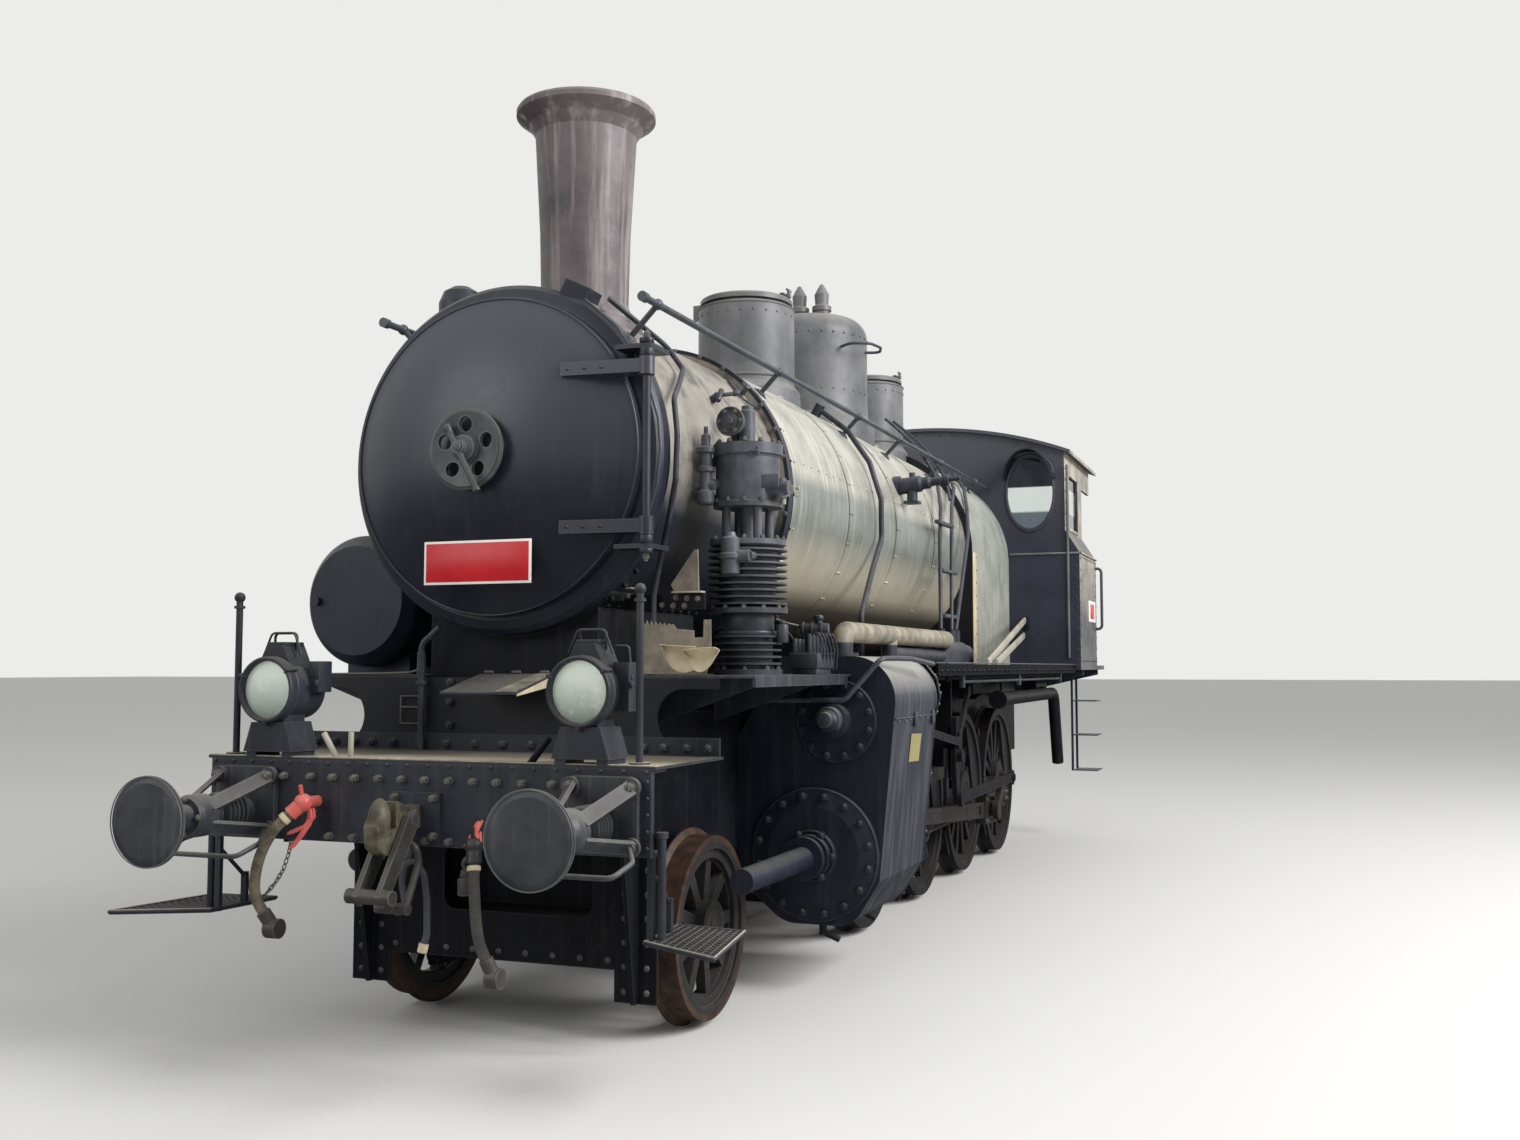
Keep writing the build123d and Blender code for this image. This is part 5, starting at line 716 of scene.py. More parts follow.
# hose clamps, straps left hanging on the cocks, the chain, a dummy coupling and the steam pipe's end
settle([roundBar((-553, 463, 1041), (-567, 452, 1025), 28), roundBar((331, 518, 870), (334, 514, 850), 28)],
       "hoseClamps", creamTin)
ribbons = []
across = Vector((12, 2, 5))
for route in (((-478, 520, 1070), (-466, 516, 1030), (-500, 508, 995), (-566, 500, 968)),
              ((-470, 522, 1060), (-486, 514, 1000), (-520, 506, 950), (-556, 500, 906)),
              ((342, 540, 1046), (330, 530, 1010), (312, 524, 975), (298, 520, 950)),
              ((336, 536, 1000), (342, 530, 960), (330, 526, 930))):
    for start, end in zip(route, route[1:]):
        for offset, radius in ((-across, 5), (across, 5), (across * 0, 9)):
            ribbons.append(roundBar(Vector(start) + offset, Vector(end) + offset, radius, 0, 6))
settle(ribbons, "cockHandleStraps", cockStrapRed)
links = []
route = [(-641, 604, 925), (-642, 590, 870), (-646, 560, 800), (-652, 520, 752), (-664, 480, 712),
    (-676, 460, 690)]
for start, end in zip(route, route[1:]):
    start, end = Vector(start), Vector(end)
    count = max(2, round((end - start).length / 22))
    for number in range(count):
        middle = start.lerp(end, (number + 0.5) / count)
        deselectAll()
        bpy.ops.mesh.primitive_torus_add(major_segments=12, minor_segments=6, major_radius=0.009,
                                         minor_radius=0.0026)
        link = bpy.context.object
        link.matrix_world = (Matrix.Translation(at(*middle))
            @ turnTo(end - start, math.radians(90 * (number % 2)))
            @ Matrix.Rotation(math.radians(90), 4, "X") @ Matrix.Diagonal((1, 1.6, 1, 1)))
        links.append(link)
settle(links, "hoseChain", couplingIron)
settle([roundBar((264, 560, 742), (262, 560, 812), 30, 5, 20),
    roundBar((262, 560, 812), (270, 560, 842), 22, 4, 16),
    roundRing((286, 560, 866), (0, 1, 0.2), 30, 9, 24),
    bentPipe([(286, 560, 890), (300, 575, 930), (306, 606, 950)], 9, 20)], "dummyCoupling", couplingIron)
settle([bentPipe([(-62, 622, 664), (-84, 622, 770), (-70, 622, 846), (-18, 622, 868), (28, 622, 800),
    (42, 622, 700), (44, 622, 560), (34, 618, 520)], 15, 50, 3),
    barBlock((-56, 604, 862), (-30, 640, 926), 4)], "steamHosePipe", railBlack)
settle(roundBar((34, 618, 524), (26, 614, 486), 21, 4), "steamHoseClamp", creamTin)
deselectAll()
bpy.ops.mesh.primitive_uv_sphere_add(segments=32, ring_count=18, radius=1, location=at(2, 336, 1052))
nose = bpy.context.object
nose.scale = (0.044, 0.052, 0.094)
settle(nose, "hookNose", beamBlack)
print("beam dressed")

# buffers: nuts on the strut feet, through bolts in the collar, a worn rim
buffer = {"x": 875, "z": 1050, "footFace": 560, "footMiddle": 1082, "reach": (136, 117)}
across, up = buffer["reach"]
fasten(coverNut, [((x + out * across, buffer["footFace"], buffer["footMiddle"] + rise * up), ahead)
                  for x in (-buffer["x"], buffer["x"]) for out in sides for rise in sides],
       "bufferStrutNuts", boltIron)
rows, rings = [], []
for x in (-buffer["x"], buffer["x"]):
    rows += boltCircle((x, 219, buffer["z"]), ahead, 72, 4)
    rings.append(roundRing((x, 3, buffer["z"]), ahead, 182, 2.6, 64))
fasten(smallNut, rows, "bufferCollarNuts", boltIron)
settle(rings, "bufferHeadRims", bufferIron)
print("buffers dressed")

# front plate: angle strip rivets, wing flange bolts, pocket, hinge of the flap
apron = {"y": 1278, "stripZ": 1313, "wingX": (721, 821, 932, 1036), "boltX": (-290, 560),
    "boltZ": (1399, 1507, 1600)}
rows = bothSides([((x, apron["y"], apron["stripZ"]), ahead) for x in apron["wingX"]])
rows += studRow((-600, apron["y"], apron["stripZ"]), (600, apron["y"], apron["stripZ"]), 9, ahead)
rows += [((x, 1290, z), ahead) for x in apron["boltX"] for z in apron["boltZ"]]
fasten(coverNut, rows, "frontPlateBolts", beamBlack)
pocket = [barBlock((lowX, 1274, lowZ), (highX, 1279, highZ), 1)
          for lowX, highX, lowZ, highZ in ((-565, -559, 1401, 1537), (-434, -428, 1401, 1537),
                                           (-565, -428, 1531, 1537), (-565, -428, 1401, 1407))]
pocket += [barBlock((-560, 1275, 1478), (-434, 1279, 1486), 1),
           bentPipe([(-983, 1274, 1639), (-685, 1274, 1641), (-515, 1274, 1646), (-453, 1270, 1661),
                     (-425, 1266, 1677)], 5, 30)]
settle(pocket, "apronPocketFrame", boltIron)
settle([roundBar((x, 1284, 1648), (x + 46, 1284, 1648), 8) for x in (-105, 43, 191)], "flapHinges",
    boltIron)
# dust lies on the flap, which rises 82 mm over its 340 mm depth
dusty = cutPlate([(150, 951), (258, 951), (262, 1272), (176, 1272)], 1500, 2, "z")
for vertex in dusty.data.vertices:
    vertex.co.z += 0.063 + (vertex.co.y + bufferReach - 0.95) / 0.34 * 0.082
settle(dusty, "flapDustSheet", shelfDust, smooth=0)
settle(cutPlate([(960, 1558), (1276, 1634), (1276, 1584), (960, 1544)], 258, 3, "x"), "flapSideLip",
    creamTin)
# torn tin beside the saddle: a comb-topped sheet standing, two curved pieces lying before it
comb = [(648, 1640), (648, 1888)]
for number in range(7):
    comb += [(660 + 22 * number, 1862 - 2 * (number % 3)), (668 + 22 * number, 1886 - 3 * number)]
comb += [(818, 1846), (905, 1838), (905, 1806), (950, 1806), (952, 1886), (988, 1886), (990, 1740),
    (966, 1640)]
settle(cutPlate(comb, 1420, 3, "y"), "tornTinSheet", tornTin, smooth=0)
shells = []
for topLine, bottomLine, front in (
        (((786, 1772), (880, 1764), (965, 1762)), ((790, 1768), (836, 1600), (962, 1664)), 1318),
        (((905, 1744), (985, 1757), (1066, 1757)), ((908, 1738), (985, 1560), (1074, 1742)), 1296)):
    deselectAll()
    bpy.ops.mesh.primitive_grid_add(x_subdivisions=20, y_subdivisions=8, size=1)
    shell = bpy.context.object
    for vertex in shell.data.vertices:
        along, up = vertex.co.x + 0.5, vertex.co.y + 0.5
        (lowX, lowZ), (highX, highZ) = [
            [(1 - along) ** 2 * a + 2 * along * (1 - along) * b + along ** 2 * c for a, b, c in zip(*line)]
            for line in (bottomLine, topLine)]
        vertex.co = at(lowX + (highX - lowX) * up, front + 34 * math.cos(math.pi * (up - 0.5)) - 24 * up,
                       lowZ + (highZ - lowZ) * up)
    pickOnly(shell)
    shell.modifiers.new("sheet", "SOLIDIFY").thickness = 0.003
    bpy.ops.object.modifier_apply(modifier="sheet")
    shells.append(shell)
settle(shells, "curvedTinPieces", creamTin, smooth=50)
# bolted bracket plate and gusset between the smokebox and the pump
bracketY = 1500
settle(barBlock((512, bracketY, 1936), (924, bracketY + 14, 2012), 3), "pumpBracketPlate", frameBlack)
# painted highlight: the ledges are pale grey to stand in for the light along their edges
settle([barBlock((770, bracketY - 36, 2012), (920, bracketY + 14, 2020)),
        barBlock((512, bracketY - 30, 2036), (560, bracketY + 14, 2044))], "pumpBracketLedges", blindGrey)
fasten(smallNut, [((x, bracketY, z), ahead) for x, z in (
    (532, 2006), (779, 1993), (835, 1988), (888, 1985), (707, 1958), (765, 1955), (821, 1954))],
       "pumpBracketBolts", boltIron)
settle(cutPlate([(752, 2052), (871, 2213), (886, 2213), (892, 2020), (770, 2020)], bracketY, 10, "y"),
    "pumpGusset", tornTin, smooth=0)
print("front plate dressed")

# headlamps: rim ring with clips, latch, wire bail, base bolts
lamp = {"x": 770, "z": 1573, "front": 568, "clips": (35, 155, 270)}
front = lamp["front"]
rings, clips, rows = [], [], []
for side in sides:
    x = side * lamp["x"]
    rings += [roundRing((x, front + 1, lamp["z"]), ahead, 136, 9, 56),
              roundRing((x, front + 44, lamp["z"]), ahead, 140, 7, 56)]
    for degrees in lamp["clips"]:
        out, _, up = outward(degrees)
        clips += [roundBar((x + 149 * out, front - 6, lamp["z"] + 149 * up),
                           (x + 149 * out, front + 52, lamp["z"] + 149 * up), 9, around=12),
                  roundBar((x + 128 * out, front - 4, lamp["z"] + 128 * up),
                           (x + 155 * out, front - 4, lamp["z"] + 155 * up), 7, around=12)]
    clips += [barBlock((x - 50, 640, 1765), (x + 50, 760, 1783), 4),
              barBlock((x + 104, 700, 1620), (x + 176, 716, 1640)),
              roundBar((x + 174, 690, 1600), (x + 186, 690, 1600), 14, around=16),
              bentPipe([(x - 104, 680, 1728), (x - 62, 680, 1824), (x + 60, 680, 1824),
                        (x + 98, 680, 1728)], 5, 30),
              bentPipe([(x + side * 44, 790, 1726), (x + side * 52, 790, 1758),
                        (x + side * 116, 790, 1758), (x + side * 126, 790, 1664)], 6, 18)]
    rows += [((x + across * 95, y, 1302), upright) for across in sides for y in (620, 735)]
clips.append(barBlock((-645, 700, 1560), (-588, 790, 1698), 5))
settle(rings, "lampRims", beamBlack)
settle(clips, "lampClips", beamBlack)
fasten(smallNut, rows, "lampBaseBolts", boltIron)
print("lamps dressed")

# smokebox door: blank red plate in its white border on four pegs, strap rivets, door ring bead
plate = {"x": (-269, 288), "z": (2045, 2243), "front": 1020, "thick": 7, "border": 11}
(left, right), (low, high), front, border = plate["x"], plate["z"], plate["front"], plate["border"]
settle(barBlock((left, front, low), (right, front + plate["thick"], high), 1.2), "numberPlateBorder",
    plateWhite, "smokebox_door")
settle(barBlock((left + border, front - 1.2, low + border), (right - border, front + 2, high - border),
    0.8), "numberPlateField", plateRed, "smokebox_door")
settle([roundBar((x, front + 6, z), (x, 1120, z), 9, around=12) for x in (-215, 235) for z in (2075, 2215)],
       "numberPlatePegs", doorBlack, "smokebox_door")
rows = [((x, 1058 + (x - 405) * 0.101, boilerAxis + side * 355), ahead) for x in (440, 520, 600)
        for side in sides]
fasten(smallRivet, rows, "doorStrapRivets", doorBlack, "smokebox_door")
settle(roundRing((0, 1168, boilerAxis), ahead, 738, 5, 128), "doorRimBead", doorBlack, "smokebox_door")
settle([roundBar((0, 862, boilerAxis), (0, 852, boilerAxis), 22),
    roundBar((-60, 894, 2717), (-78, 891, 2753), 18, 6),
    roundBar((95, 870, 2457), (101, 869, 2444), 18, 6)], "doorSpindleEnd", wheelIron, "smokebox_door")
print("smokebox door dressed")

# smokebox drum: nuts on the rear ring, saddle flange nuts, chimney foot bolts, hinge lug nuts, cable and stub
rows = [(onBoiler(843, 2840, outward(degrees)), ahead) for degrees in range(-20, 201, 11)]
fasten(smallNut, rows, "drumRingNuts", boltIron)
rows = []
for side in sides:
    for degrees in range(-58, -28, 6):
        x, y, z = onBoiler(838, 1366, outward(degrees, side))
        rows.append(((x * 0.995, y, z), ahead))
    way = outward(-56, side)
    rows += [(onBoiler(832, y, way), way) for y in range(1420, 2441, 102)]
fasten(plateRivet, rows, "saddleRivets", frameBlack)
rows = []
for degrees in range(15, 375, 30):
    out, _, back = outward(degrees)
    rise = math.sqrt(800 ** 2 - (283 * out) ** 2) - 800
    rows.append(((283 * out, 2050 + 283 * back, 3467 + rise * 0.55), upright))
fasten(coverNut, rows, "chimneyFootBolts", boltIron)
settle([roundBar((800, 1128, low), (800, 1128, high), 33, 4)
        for low, high in ((3043, 3081), (3103, 3126), (2213, 2251), (2170, 2191))],
       "hingeCollars", smokeboxBlack)
fasten(beamBolt, [((800, 1128, 3126), upright), ((800, 1128, 2170), (0, 0, -1))], "hingePinNuts", boltIron)
settle(bentPipe([(430, 1236, 3362), (600, 1226, 3220), (742, 1218, 3020), (817, 1216, 2780),
    (828, 1216, boilerAxis), (812, 1216, 2490), (742, 1218, 2262)], 7, 120), "ringCable", railBlack)
settle([bentPipe([(545, 2708, 3252), (662, 2640, 3126), (676, 2860, 3112), (684, 3060, 3110)], 9, 60),
    roundBar((640, 2680, 3170), (690, 2640, 3200), 15),
    roundBar((700, 2090, 3018), (745, 2090, 3050), 20, 3),
    roundBar((752, 2060, 3012), (752, 2110, 3076), 15, 4),
    roundBar((752, 2090, 3046), (826, 2150, 3062), 11, 3),
    roundBar((806, 2134, 3058), (832, 2155, 3063), 15, 3)], "drumPipeKnobs", railBlack)
# dark plate between the frames, cut to the barrel, standing in for the shade seen through the gap there
rim = [onBoiler(845, 0, outward(-42 - 96 * number / 20)) for number in range(21)]
settle(cutPlate([(-840, 1640), (840, 1640), (840, 1800)] + [(x, z) for x, _, z in rim] + [(-840, 1800)],
    3000, 24, "y"), "frameGapShadePlate", frameBlack, smooth=0)
print("smokebox dressed")

# barrel: screws along each band, lap seam screws, stanchion feet, pipes and their clamps
barrel = {"bands": (2930, 3995, 5090, 6185), "bandWidth": 70, "stanchions": (3088, 4658, 5707, 7000, 8300)}
rows = [(onBoiler(846, y + edge, outward(degrees)), outward(degrees)) for y in barrel["bands"]
        for degrees in range(-40, 221, 13) for edge in (12, barrel["bandWidth"] - 12)]
fasten(smallRivet, rows, "bandScrews", laggingSheet)
rows = [(onBoiler(840, y, outward(13)), outward(13)) for y in range(3040, 7240, 140)]
fasten(smallRivet, bothSides(rows), "lapSeamScrews", laggingSheet)
stanchionWay = (0.7005, 0, 0.7137)
rows = [(onBoiler(840 if y < 7200 else 890, y, stanchionWay), stanchionWay) for y in barrel["stanchions"]]
rows.append((onBoiler(800, 1446, stanchionWay), stanchionWay))
fasten(boardNut, bothSides(rows), "stanchionFeet", railBlack)
settle([barBlock((x - 22, 5900, z - 14), (x + 22, 6360, z + 14), 4)
        for x, z in ((935, 2763), (958, 2398), (972, 2055))], "pipeClamps", railBlack)
settle([bentPipe([(420, 6307, 3640), (500, 6342, 3568), (560, 6421, 3501), (620, 6533, 3417),
    (680, 6617, 3321), (740, 6604, 3219), (790, 6546, 3089)], 13, 40),
    bentPipe([(420, 6543, 3655), (500, 6615, 3583), (560, 6766, 3520), (640, 6844, 3420), (720, 6890, 3298),
    (790, 6838, 3164), (840, 6726, 3018)], 13, 40)], "upperPipeRuns", pipePaint)
settle([barBlock((side * 896, 7284, 1702), (side * 901, 7420, 2640), 1.5) for side in sides],
    "claddingEdgeStrips", creamTin)
fasten(smallRivet, bothSides(studRow((901, 7400, 1740), (901, 7400, 2600), 9, (1, 0, 0))), "claddingScrews",
       fireboxSheet)
print("boiler dressed")

# domes: grab ring and rivet rows on the steam dome, rims, rivets and lid clamps on the sand domes
dome = {"y": 5720, "grabZ": 4045,
    "sand": {"sand_lid_front": (4370, 325, 4160), "sand_lid_rear": (7300, 290, 4170)}}
grab = [(336, 5450), (430, 5370), (560, 5440), (590, 5600), (540, 5760), (420, 5720)]
settle(bentPipe([(x, y, dome["grabZ"]) for x, y in grab], 11, 70), "domeGrabRing", railBlack)
fasten(smallRivet, wallRows(dome["y"], 3728, 429, 30) + wallRows(dome["y"], 4150, 431, 30),
    "steamDomeRivets", domeBlack)
rims, rows = [], []
for name, (y, radius, top) in dome["sand"].items():
    rims += [roundRing((0, y, top - 84), upright, radius + 1, 6, 64),
        roundRing((0, y, 3592), upright, radius + 4, 9, 64)]
    rows += wallRows(y, top - 140, radius, 24)
    # pressed shoulder that rounds the lid's edge
    deselectAll()
    bpy.ops.mesh.primitive_torus_add(major_segments=72, minor_segments=20,
        major_radius=(radius - 61) / 1000, minor_radius=0.048, location=at(0, y, top - 27))
    shoulder = bpy.context.object
    shoulder.scale = (1, 1, 0.46)
    settle([barBlock((radius - 62, y - 70, top - 2), (radius - 30, y + 70, top + 10), 3),
            roundBar((radius - 20, y, top - 8), (radius - 20, y, top + 44), 12, 3, 16),
            roundBar((radius - 20, y - 42, top + 36), (radius - 20, y + 42, top + 36), 8, 3, 12), shoulder],
           name + "_clamp", domeBlack, name)
settle(rims, "sandDomeRims", domeBlack)
fasten(smallRivet, rows, "sandDomeRivets", domeBlack)
print("domes dressed")

# pump: flange and valve chest nuts, bands, the lower cover between the flanges, blank plate, oil cup
pump = {"x": 1018, "y": 1800,
        "flanges": ((1660, 142, 8), (1947, 176, 12), (2272, 168, 12), (2450, 160, 12), (2733, 148, 12))}
rows = []
for z, reach, count in pump["flanges"]:
    rows += boltCircle((pump["x"], pump["y"], z), upright, reach, count, 15)
fasten(smallNut, rows, "pumpFlangeNuts", boltIron)
fasten(smallNut, boltCircle((978, 1672, 2831), ahead, 52, 6), "pumpValveNuts", boltIron)
settle([roundRing((pump["x"], pump["y"], z), upright, 153, 5, 64) for z in (2668, 2696)]
    + [barBlock((1080, 1652, 2662), (1092, 1668, 2702)), barBlock((1116, 1656, 2662), (1128, 1672, 2702)),
    roundBar((1084, 1650, 2682), (1126, 1656, 2682), 6, 1, 10),
    roundBar((978, 1676, 2831), (978, 1660, 2831), 40, 3, 32),
    roundBar((978, 1660, 2831), (978, 1640, 2831), 24, 4, 6), roundRing((978, 1668, 2831), ahead, 66, 5),
    roundBar((pump["x"], pump["y"], 1842), (pump["x"], pump["y"], 1928), 126, 4, 48),
    roundBar((pump["x"], pump["y"], 1822), (pump["x"], pump["y"], 1842), 138, 4, 48),
    roundBar((1196, 1790, 1786), (1196, 1790, 1872), 28, 5),
    roundBar((1196, 1790, 1872), (1196, 1790, 1890), 14, 4, 12)], "pumpBandsAndCovers", pumpIron)
settle(barBlock((1139, 1658, 2505), (1226, 1668, 2568)), "pumpPlate", pumpIron)
settle([barBlock((1180, 1772, 2478), (1226, 1822, 2536), 8),
    barBlock((1222, 1780, 2492), (1262, 1816, 2528), 6),
    roundBar((1262, 1798, 2514), (1280, 1798, 2516), 9, 2, 12),
    roundBar((1200, 1798, 2440), (1200, 1798, 2482), 12, 3, 12)], "pumpOilCup", blindGrey)
print("pump dressed")

# cylinders: cover studs, gland nuts, rings, cladding beads and screws, seam with clips, the blank paper tag
cylinder = {"x": 1055, "z": 690, "valveX": 1175, "valveZ": 1390, "lean": 115 / 1170,
    "skin": ((1250, 322), (1400, 560), (1482, 1394), (1513, 1502), (1494, 1610), (1420, 1700),
    (1290, 1731))}
x, z, valveX, valveZ = cylinder["x"], cylinder["z"], cylinder["valveX"], cylinder["valveZ"]
rows = []
for boltX, boltZ, y, way, radius, count, first in ((x, z, 2652, ahead, 306, 16, 11),
        (x, z, 2602, ahead, 122, 6, 0), (valveX, valveZ, 2667, ahead, 188, 12, 15),
        (x, z, 3640, behind, 300, 16, 11), (valveX, valveZ, 3634, behind, 160, 8, 0)):
    rows += bothSides(boltCircle((boltX, y, boltZ), way, radius, count, first))
fasten(coverNut, rows, "cylinderCoverNuts", cylinderBlack)
settle([roundRing((side * ringX, y, ringZ), ahead, radius, thick, around) for side in sides
        for ringX, ringZ, y, radius, thick, around in (
            (x, z, 2662, 343, 6, 96), (x, z, 2600, 128, 6, 48), (valveX, valveZ, 2668, 213, 5, 64),
            (x, z, 1636, 56, 4, 40))], "cylinderRings", cylinderBlack)
strips, rows, skin = [], [], cylinder["skin"]
leaning = (0.98, 0, -0.1)
for (x, z), (nextX, nextZ) in zip(skin, skin[1:]):
    strips += [bentPipe([(side * x, 3578, z), (side * nextX, 3578, nextZ)], 6, 0, 1) for side in sides]
    rows += [((x + (nextX - x) * part, 3604, z + (nextZ - z) * part), leaning) for part in (0.2, 0.6)]
rows += [((1482, y, 1386), leaning) for y in range(2800, 3540, 120)]
settle(strips, "cladFaceBeads", cylinderBlack)
fasten(smallRivet, bothSides(rows), "cladScrews", boltIron)
seams, plugs = [], []
for side in sides:
    seams.append(bentPipe([(side * 1483, 2720, 1400), (side * 1483, 3590, 1400)], 7, 0, 1))
    seams += [barBlock((side * 1478, y - 30, 1350), (side * 1494, y + 30, 1430), 5) for y in (3122, 3509)]
    plugs += [roundBar((side * 1175, 2600, 1398), (side * 1175, 2520, 1398), 68, 6, 40),
              roundBar((side * 1175, 2520, 1400), (side * 1175, 2462, 1400), 42, 12, 40)]
settle(seams, "cladSeamClips", cylinderBlack)
settle(plugs, "valveRodPlugs", bufferIron)
# the tag leans with the cladding
tag = cutPlate([(3060, 1158), (3275, 1151), (3287, 1303), (3070, 1310)], 1480, 1.5, "x")
for vertex in tag.data.vertices:
    vertex.co.x += (-77 + (vertex.co.z * 1000 - 588) * cylinder["lean"]) / 1000
settle(tag, "blankPaperTag", tagYellow, smooth=0)
settle(bentPipe([(700, 2560, 1497), (944, 2580, 1497), (1248, 2590, 1500), (1375, 2630, 1650),
    (1428, 2650, 1716), (1480, 2800, 1718), (1512, 2950, 1716), (1543, 3300, 1690)], 14, 50), "oilConduit",
    railBlack)
# force-feed lubricator: a row of plungers on a tank, its driving arm, a ball cup and the small pipes
oilers = [barBlock((1096, 2150, 1664), (1250, 2420, 1742), 10),
    barBlock((1110, 2170, 1636), (1236, 2400, 1668), 3)]
for y in (2180, 2236, 2292, 2348, 2400):
    oilers += [roundBar((1120, y, 1740), (1120, y, 1812), 17, 3, 12),
        roundBar((1196, y, 1740), (1196, y, 1836), 15, 3, 12),
        bentPipe([(1196, y, 1830), (1250, y - 10, 1846), (1262, y + 30, 1760), (1240, y + 70, 1660)],
                 6, 26, 1)]
oilers += [roundBar((x, 2290 + (x - 1112) * 0.14, 1862), (x + 12, 2292 + (x - 1112) * 0.14, 1862),
                    37, 3, 20) for x in (1120, 1166, 1212)]
oilers += [roundBar((1112, 2290, 1862), (1256, 2310, 1862), 30, 6, 20),
           roundBar((1205, 2300, 1884), (1205, 2300, 1904), 18, 4, 16),
           roundBar((1205, 2300, 1904), (1205, 2300, 1934), 25, 11, 20),
           roundBar((1150, 2300, 1740), (1150, 2300, 1850), 14, 3, 12),
           roundBar((1090, 2290, 1850), (1120, 2292, 1826), 20, 5, 14),
           bentPipe([(1010, 2200, 1912), (1064, 2240, 1890), (1116, 2292, 1876)], 7, 30, 1)]
settle(oilers, "oilPumpCluster", pumpIron)
print("cylinders dressed")

# rods and wheels: cap bolts, oil cups, big end bolts, axle ends
motion = {"axles": (4450, 5850, 7250, 8650), "driven": 7250, "throw": 316, "crank": {1: 202, -1: 292},
          "axleZ": 649, "crossheadZ": 690, "rodLength": 2400}


def hubRings(y, z, hub, rim, around):
    # axle end, its groove and the tyre's edge on both wheels
    return [piece for side in sides
            for piece in (roundRing((side * 826, y, z), (side, 0, 0), 84, 5, 40),
                          roundBar((side * 820, y, z), (side * 832, y, z), hub, 3, 20),
                          roundRing((side * 800, y, z), (side, 0, 0), rim, 4, around))]


pins = {}
for side in sides:
    out, _, up = outward(motion["crank"][side])
    pins[side] = (motion["throw"] * out, motion["axleZ"] + motion["throw"] * up)
for number, y in enumerate(motion["axles"], 1):
    body = f"coupled_wheelset_{number}"
    settle(hubRings(y, motion["axleZ"], 36, 583, 96), body + "_endRings", wheelBlack, body)
    if y != motion["driven"]:
        rows = []
        for side in sides:
            rows += boltCircle((side * 937, y + pins[side][0], pins[side][1]), (side, 0, 0), 42, 4, 45)
        fasten(smallNut, rows, body + "_capNuts", boltIron, body)
settle(hubRings(1850, 435, 40, 369, 72), "leadWheelRings", leadWheelBlack, "lead_wheelset")
for side, name in ((1, "left"), (-1, "right")):
    forward, rise = pins[side]
    cups = []
    for y in motion["axles"]:
        cups += [roundBar((side * 900, y + forward, rise + low), (side * 900, y + forward, rise + high),
                          radius, round, around)
                 for low, high, radius, round, around in ((100, 132, 20, 3, 16), (132, 142, 9, 2, 6))]
    settle(cups, f"coupling_rod_{name}_oilCups", rodSteel, f"coupling_rod_{name}")
    pinY = motion["driven"] + forward
    eyeY = pinY - math.sqrt(motion["rodLength"] ** 2 - (motion["crossheadZ"] - rise) ** 2)
    slope = math.atan2(rise - motion["crossheadZ"], pinY - eyeY)
    along = Vector((0, math.cos(slope), math.sin(slope)))
    up = Vector((0, -math.sin(slope), math.cos(slope)))
    big = Vector((side * 1095, pinY, rise))
    rows = [(tuple(big + along * a + up * b), (side, 0, 0)) for a in (-160, 100) for b in (-84, 84)]
    fasten(smallNut, rows, f"main_rod_{name}_strapNuts", boltIron, f"main_rod_{name}")
    middle = Vector((side * 1055, pinY, rise))
    settle(roundBar(middle + up * 108, middle + up * 150, 22, 3, 16), f"main_rod_{name}_oilCup", rodSteel,
           f"main_rod_{name}")
    fasten(beamBolt, [((side * 1128, eyeY, motion["crossheadZ"]), (side, 0, 0))],
        f"crosshead_{name}_pinNut", boltIron, f"crosshead_{name}")
print("motion dressed")

# boards and frame: valance rivets, worn lips, drain rod, guard iron bolts, horn rivets
fasten(smallRivet, bothSides(studRow((1500, 3680, 1648), (1500, 8800, 1648), 36, (1, 0, 0))),
    "valanceRivets", boardBlack)
settle([barBlock((side * 1493, 3560, 1694), (side * 1501, 8868, 1701)) for side in sides], "boardWornLips",
    bufferIron)
rods = [barBlock((1416, low, bottom), (1444, high, top), 4)
        for low, high, bottom, top in ((6418, 6470, 1536, 1632), (4500, 4540, 1540, 1660),
                                       (8380, 8420, 1540, 1660))]
settle([roundBar((1430, 4518, 1579), (1430, 8414, 1574), 11, 2, 12)] + rods, "drainRod", railBlack)
rows = studRow((-560, 1266, 372), (560, 1266, 372), 9, ahead)
for x in (640, 750, -640, -750):
    rows += studRow((x, 1266, 240), (x, 1266, 880), 7, ahead)
fasten(plateRivet, rows, "guardIronBolts", boltIron)
rows = []
for y in [axle + across for axle in motion["axles"] for across in (-210, -175, 175, 210)]:
    rows += studRow((615, y, 480), (615, y, 820), 4, (1, 0, 0))
for y in (1600, 2100):
    rows += studRow((615, y, 300), (615, y, 560), 4, (1, 0, 0))
fasten(plateRivet, bothSides(rows), "hornRivets", frameBlack)
print("frame dressed")

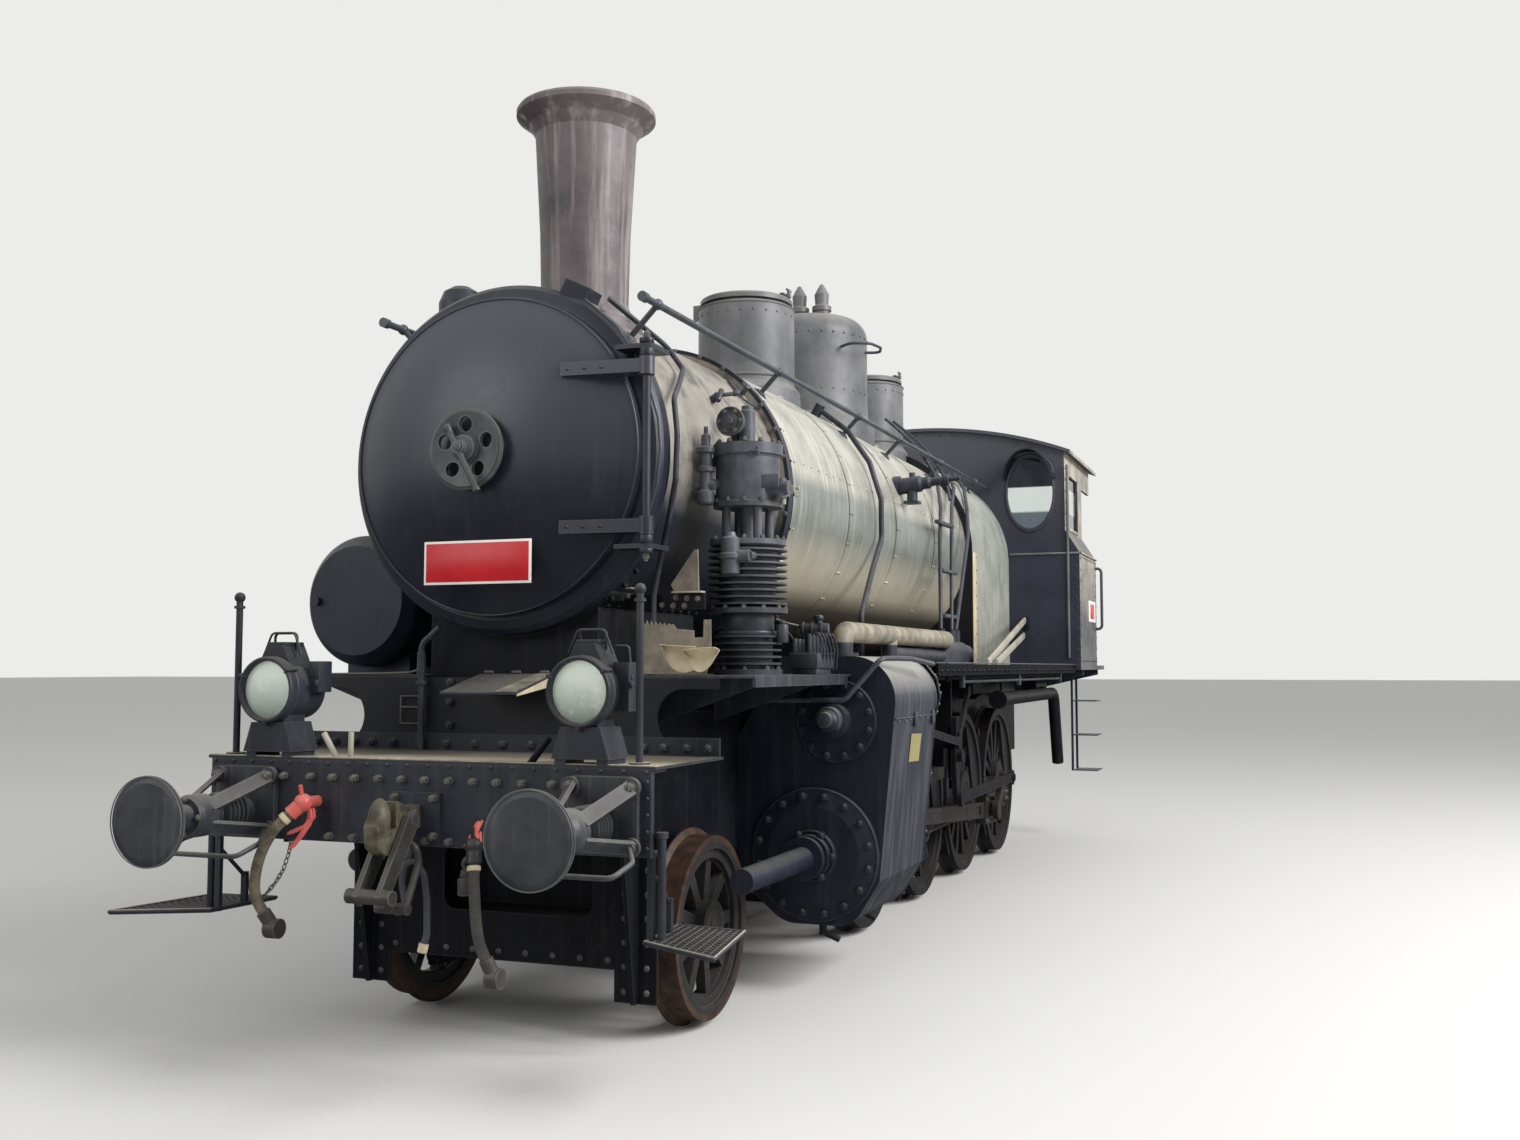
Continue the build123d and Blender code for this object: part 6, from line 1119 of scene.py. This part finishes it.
# steps: raised tread ribs both ways between the skewed corners, pale wear on the front and outer rim
step = {"corners": ((1059, 590), (1437, 390), (1342, 940), (1026, 981)), "top": 601, "across": 14,
    "along": 10}
ribs, edges = [], []
up = Vector((0, 0, 4.5))
for side in sides:
    inFront, outFront, outBack, inBack = [Vector((side * x, y, step["top"])) for x, y in step["corners"]]
    for count, start, startTo, end, endTo in ((step["across"], inFront, inBack, outFront, outBack),
                                              (step["along"], inFront, outFront, inBack, outBack)):
        ribs += [roundBar(start.lerp(startTo, number / count), end.lerp(endTo, number / count), 4, 0, 6)
                 for number in range(1, count)]
    edges += [roundBar(inFront + up, outFront + up, 4.5, 0, 8),
        roundBar(outFront + up, outBack + up, 4.5, 0, 8)]
settle(ribs, "stepTread", boardBlack)
settle(edges, "stepWornEdges", blindGrey)
print("steps dressed")

# cab: oval frames and hoods, window frames, rivet rows, ledge lip, blank plate, roof seams
cab = {"front": 8880, "windowX": 1100, "windowZ": 3316, "roofSag": 260, "roofHalf": 1420, "roofTop": 3950}
settle([roundRing((side * cab["windowX"], cab["front"] - 3, cab["windowZ"]), ahead, 215, 13, 72,
    (1.04, 1.67)) for side in sides], "ovalWindowFrames", cabBlack)
# hood over the upper half of each oval window
hoods = []
for side in sides:
    rim = [(250 * out, 392 * up) for out, _, up in [outward(18 + 8 * number) for number in range(19)]]
    outline = rim + [(x * 0.96, z * 0.975) for x, z in reversed(rim)]
    hood = cutPlate([(side * cab["windowX"] + x, cab["windowZ"] + z) for x, z in outline], 8670, 208, "y")
    for vertex in hood.data.vertices:
        if vertex.co.y < 3.43:
            vertex.co.y += max(0, 3.60 - vertex.co.z) * 0.25
    hoods.append(hood)
settle(hoods, "windowHoods", smokeboxBlack)
rows = []
for side in sides:
    for out, _, up in [outward(number * 360 / 14) for number in range(14)]:
        rows.append(((side * cab["windowX"] + 244 * out, cab["front"], cab["windowZ"] + 380 * up), ahead))
    rows += studRow((side * 1520, cab["front"], 1740), (side * 1520, cab["front"], 2700), 11, ahead)
    rows += studRow((side * 1390, cab["front"], 2990), (side * 1390, cab["front"], 3640), 8, ahead)
rows += [((1340 * part, cab["front"], 3915 - 250 * part * part), ahead)
         for part in [-1 + number / 11 for number in range(23)]]
fasten(smallRivet, rows, "cabFrontRivets", cabBlack)
rows = []
for x, fromY, fromZ, toY, toZ, count in ((1550, 8925, 1730, 9930, 1730, 12),
        (1550, 8925, 2700, 9930, 2700, 12), (1550, 8925, 1760, 8925, 2680, 10),
        (1550, 9930, 1760, 9930, 2680, 10), (1420, 8925, 3000, 8925, 3640, 7),
        (1420, 8960, 3640, 10420, 3640, 16)):
    rows += studRow((x, fromY, fromZ), (x, toY, toZ), count, (1, 0, 0))
fasten(smallRivet, bothSides(rows), "cabSideRivets", cabBlack)
frames, pale, signs, fields = [], [], [], []
for side in sides:
    frames += [barBlock((side * 1421, lowY, lowZ), (side * 1432, highY, highZ), 3)
               for lowY, lowZ, highY, highZ in ((9050, 2960, 9650, 2988), (9050, 3482, 9650, 3510),
                                                (9050, 2960, 9078, 3510), (9622, 2960, 9650, 3510))]
    frames.append(barBlock((side * 1551, 8884, 2728), (side * 1566, 9956, 2744), 4))
    pale += [bentPipe([(side * 1446, 8868, 3560), (side * 1446, 8868, 3000), (side * 1446, 8868, 1760)],
                      12, 0),
             roundBar((side * 900, 8874, 2732), (side * 1549, 8874, 2732), 10, 2, 12)]
    signs.append(barBlock((side * 1551, 9410, 2110), (side * 1556, 9860, 2312), 1))
    fields.append(barBlock((side * 1554, 9500, 2140), (side * 1557, 9770, 2282), 0.6))
settle(frames, "cabFramesAndLips", cabBlack)
settle(pale, "cabFrontPipes", domeBlack)
settle(signs, "cabPlateBorders", plateWhite)
settle(fields, "cabPlateFields", plateRed)
# two levers slanting from the board up to the cab's front, in a dark slot
levers = []
for start, end in (((1255, 6134, 1704), (1036, 8862, 2109)), ((1290, 6300, 1704), (1026, 8862, 1966))):
    levers += [roundBar(Vector(start) + up, Vector(end) + up, 16, 2, 8)
        for up in [Vector((0, 0, z)) for z in (-14, 0, 14)]]
settle(levers, "slantedLevers", blindGrey)
# the slots are dark blocks on the cab front, painted shade standing in for the openings
settle([barBlock((1022, 8858, 2020), (1078, 8882, 2146), 4),
    barBlock((1012, 8858, 1938), (1052, 8882, 1996), 4)], "leverSlots", frameBlack)
# the seams follow the roof's arc
half, sag = cab["roofHalf"], cab["roofSag"]
radius = (half ** 2 + sag ** 2) / (2 * sag)
seams = []
for y in (9240, 9840, 10320):
    run = [(x, y, cab["roofTop"] - radius + math.sqrt((radius + 31) ** 2 - x * x))
        for x in range(-1400, 1401, 175)]
    seams.append(bentPipe(run, 7, 0, 1))
settle(seams, "roofSeams", cabBlack)
print("cab dressed")

for original in kept:
    bpy.data.objects.remove(original)
print("dressing done")
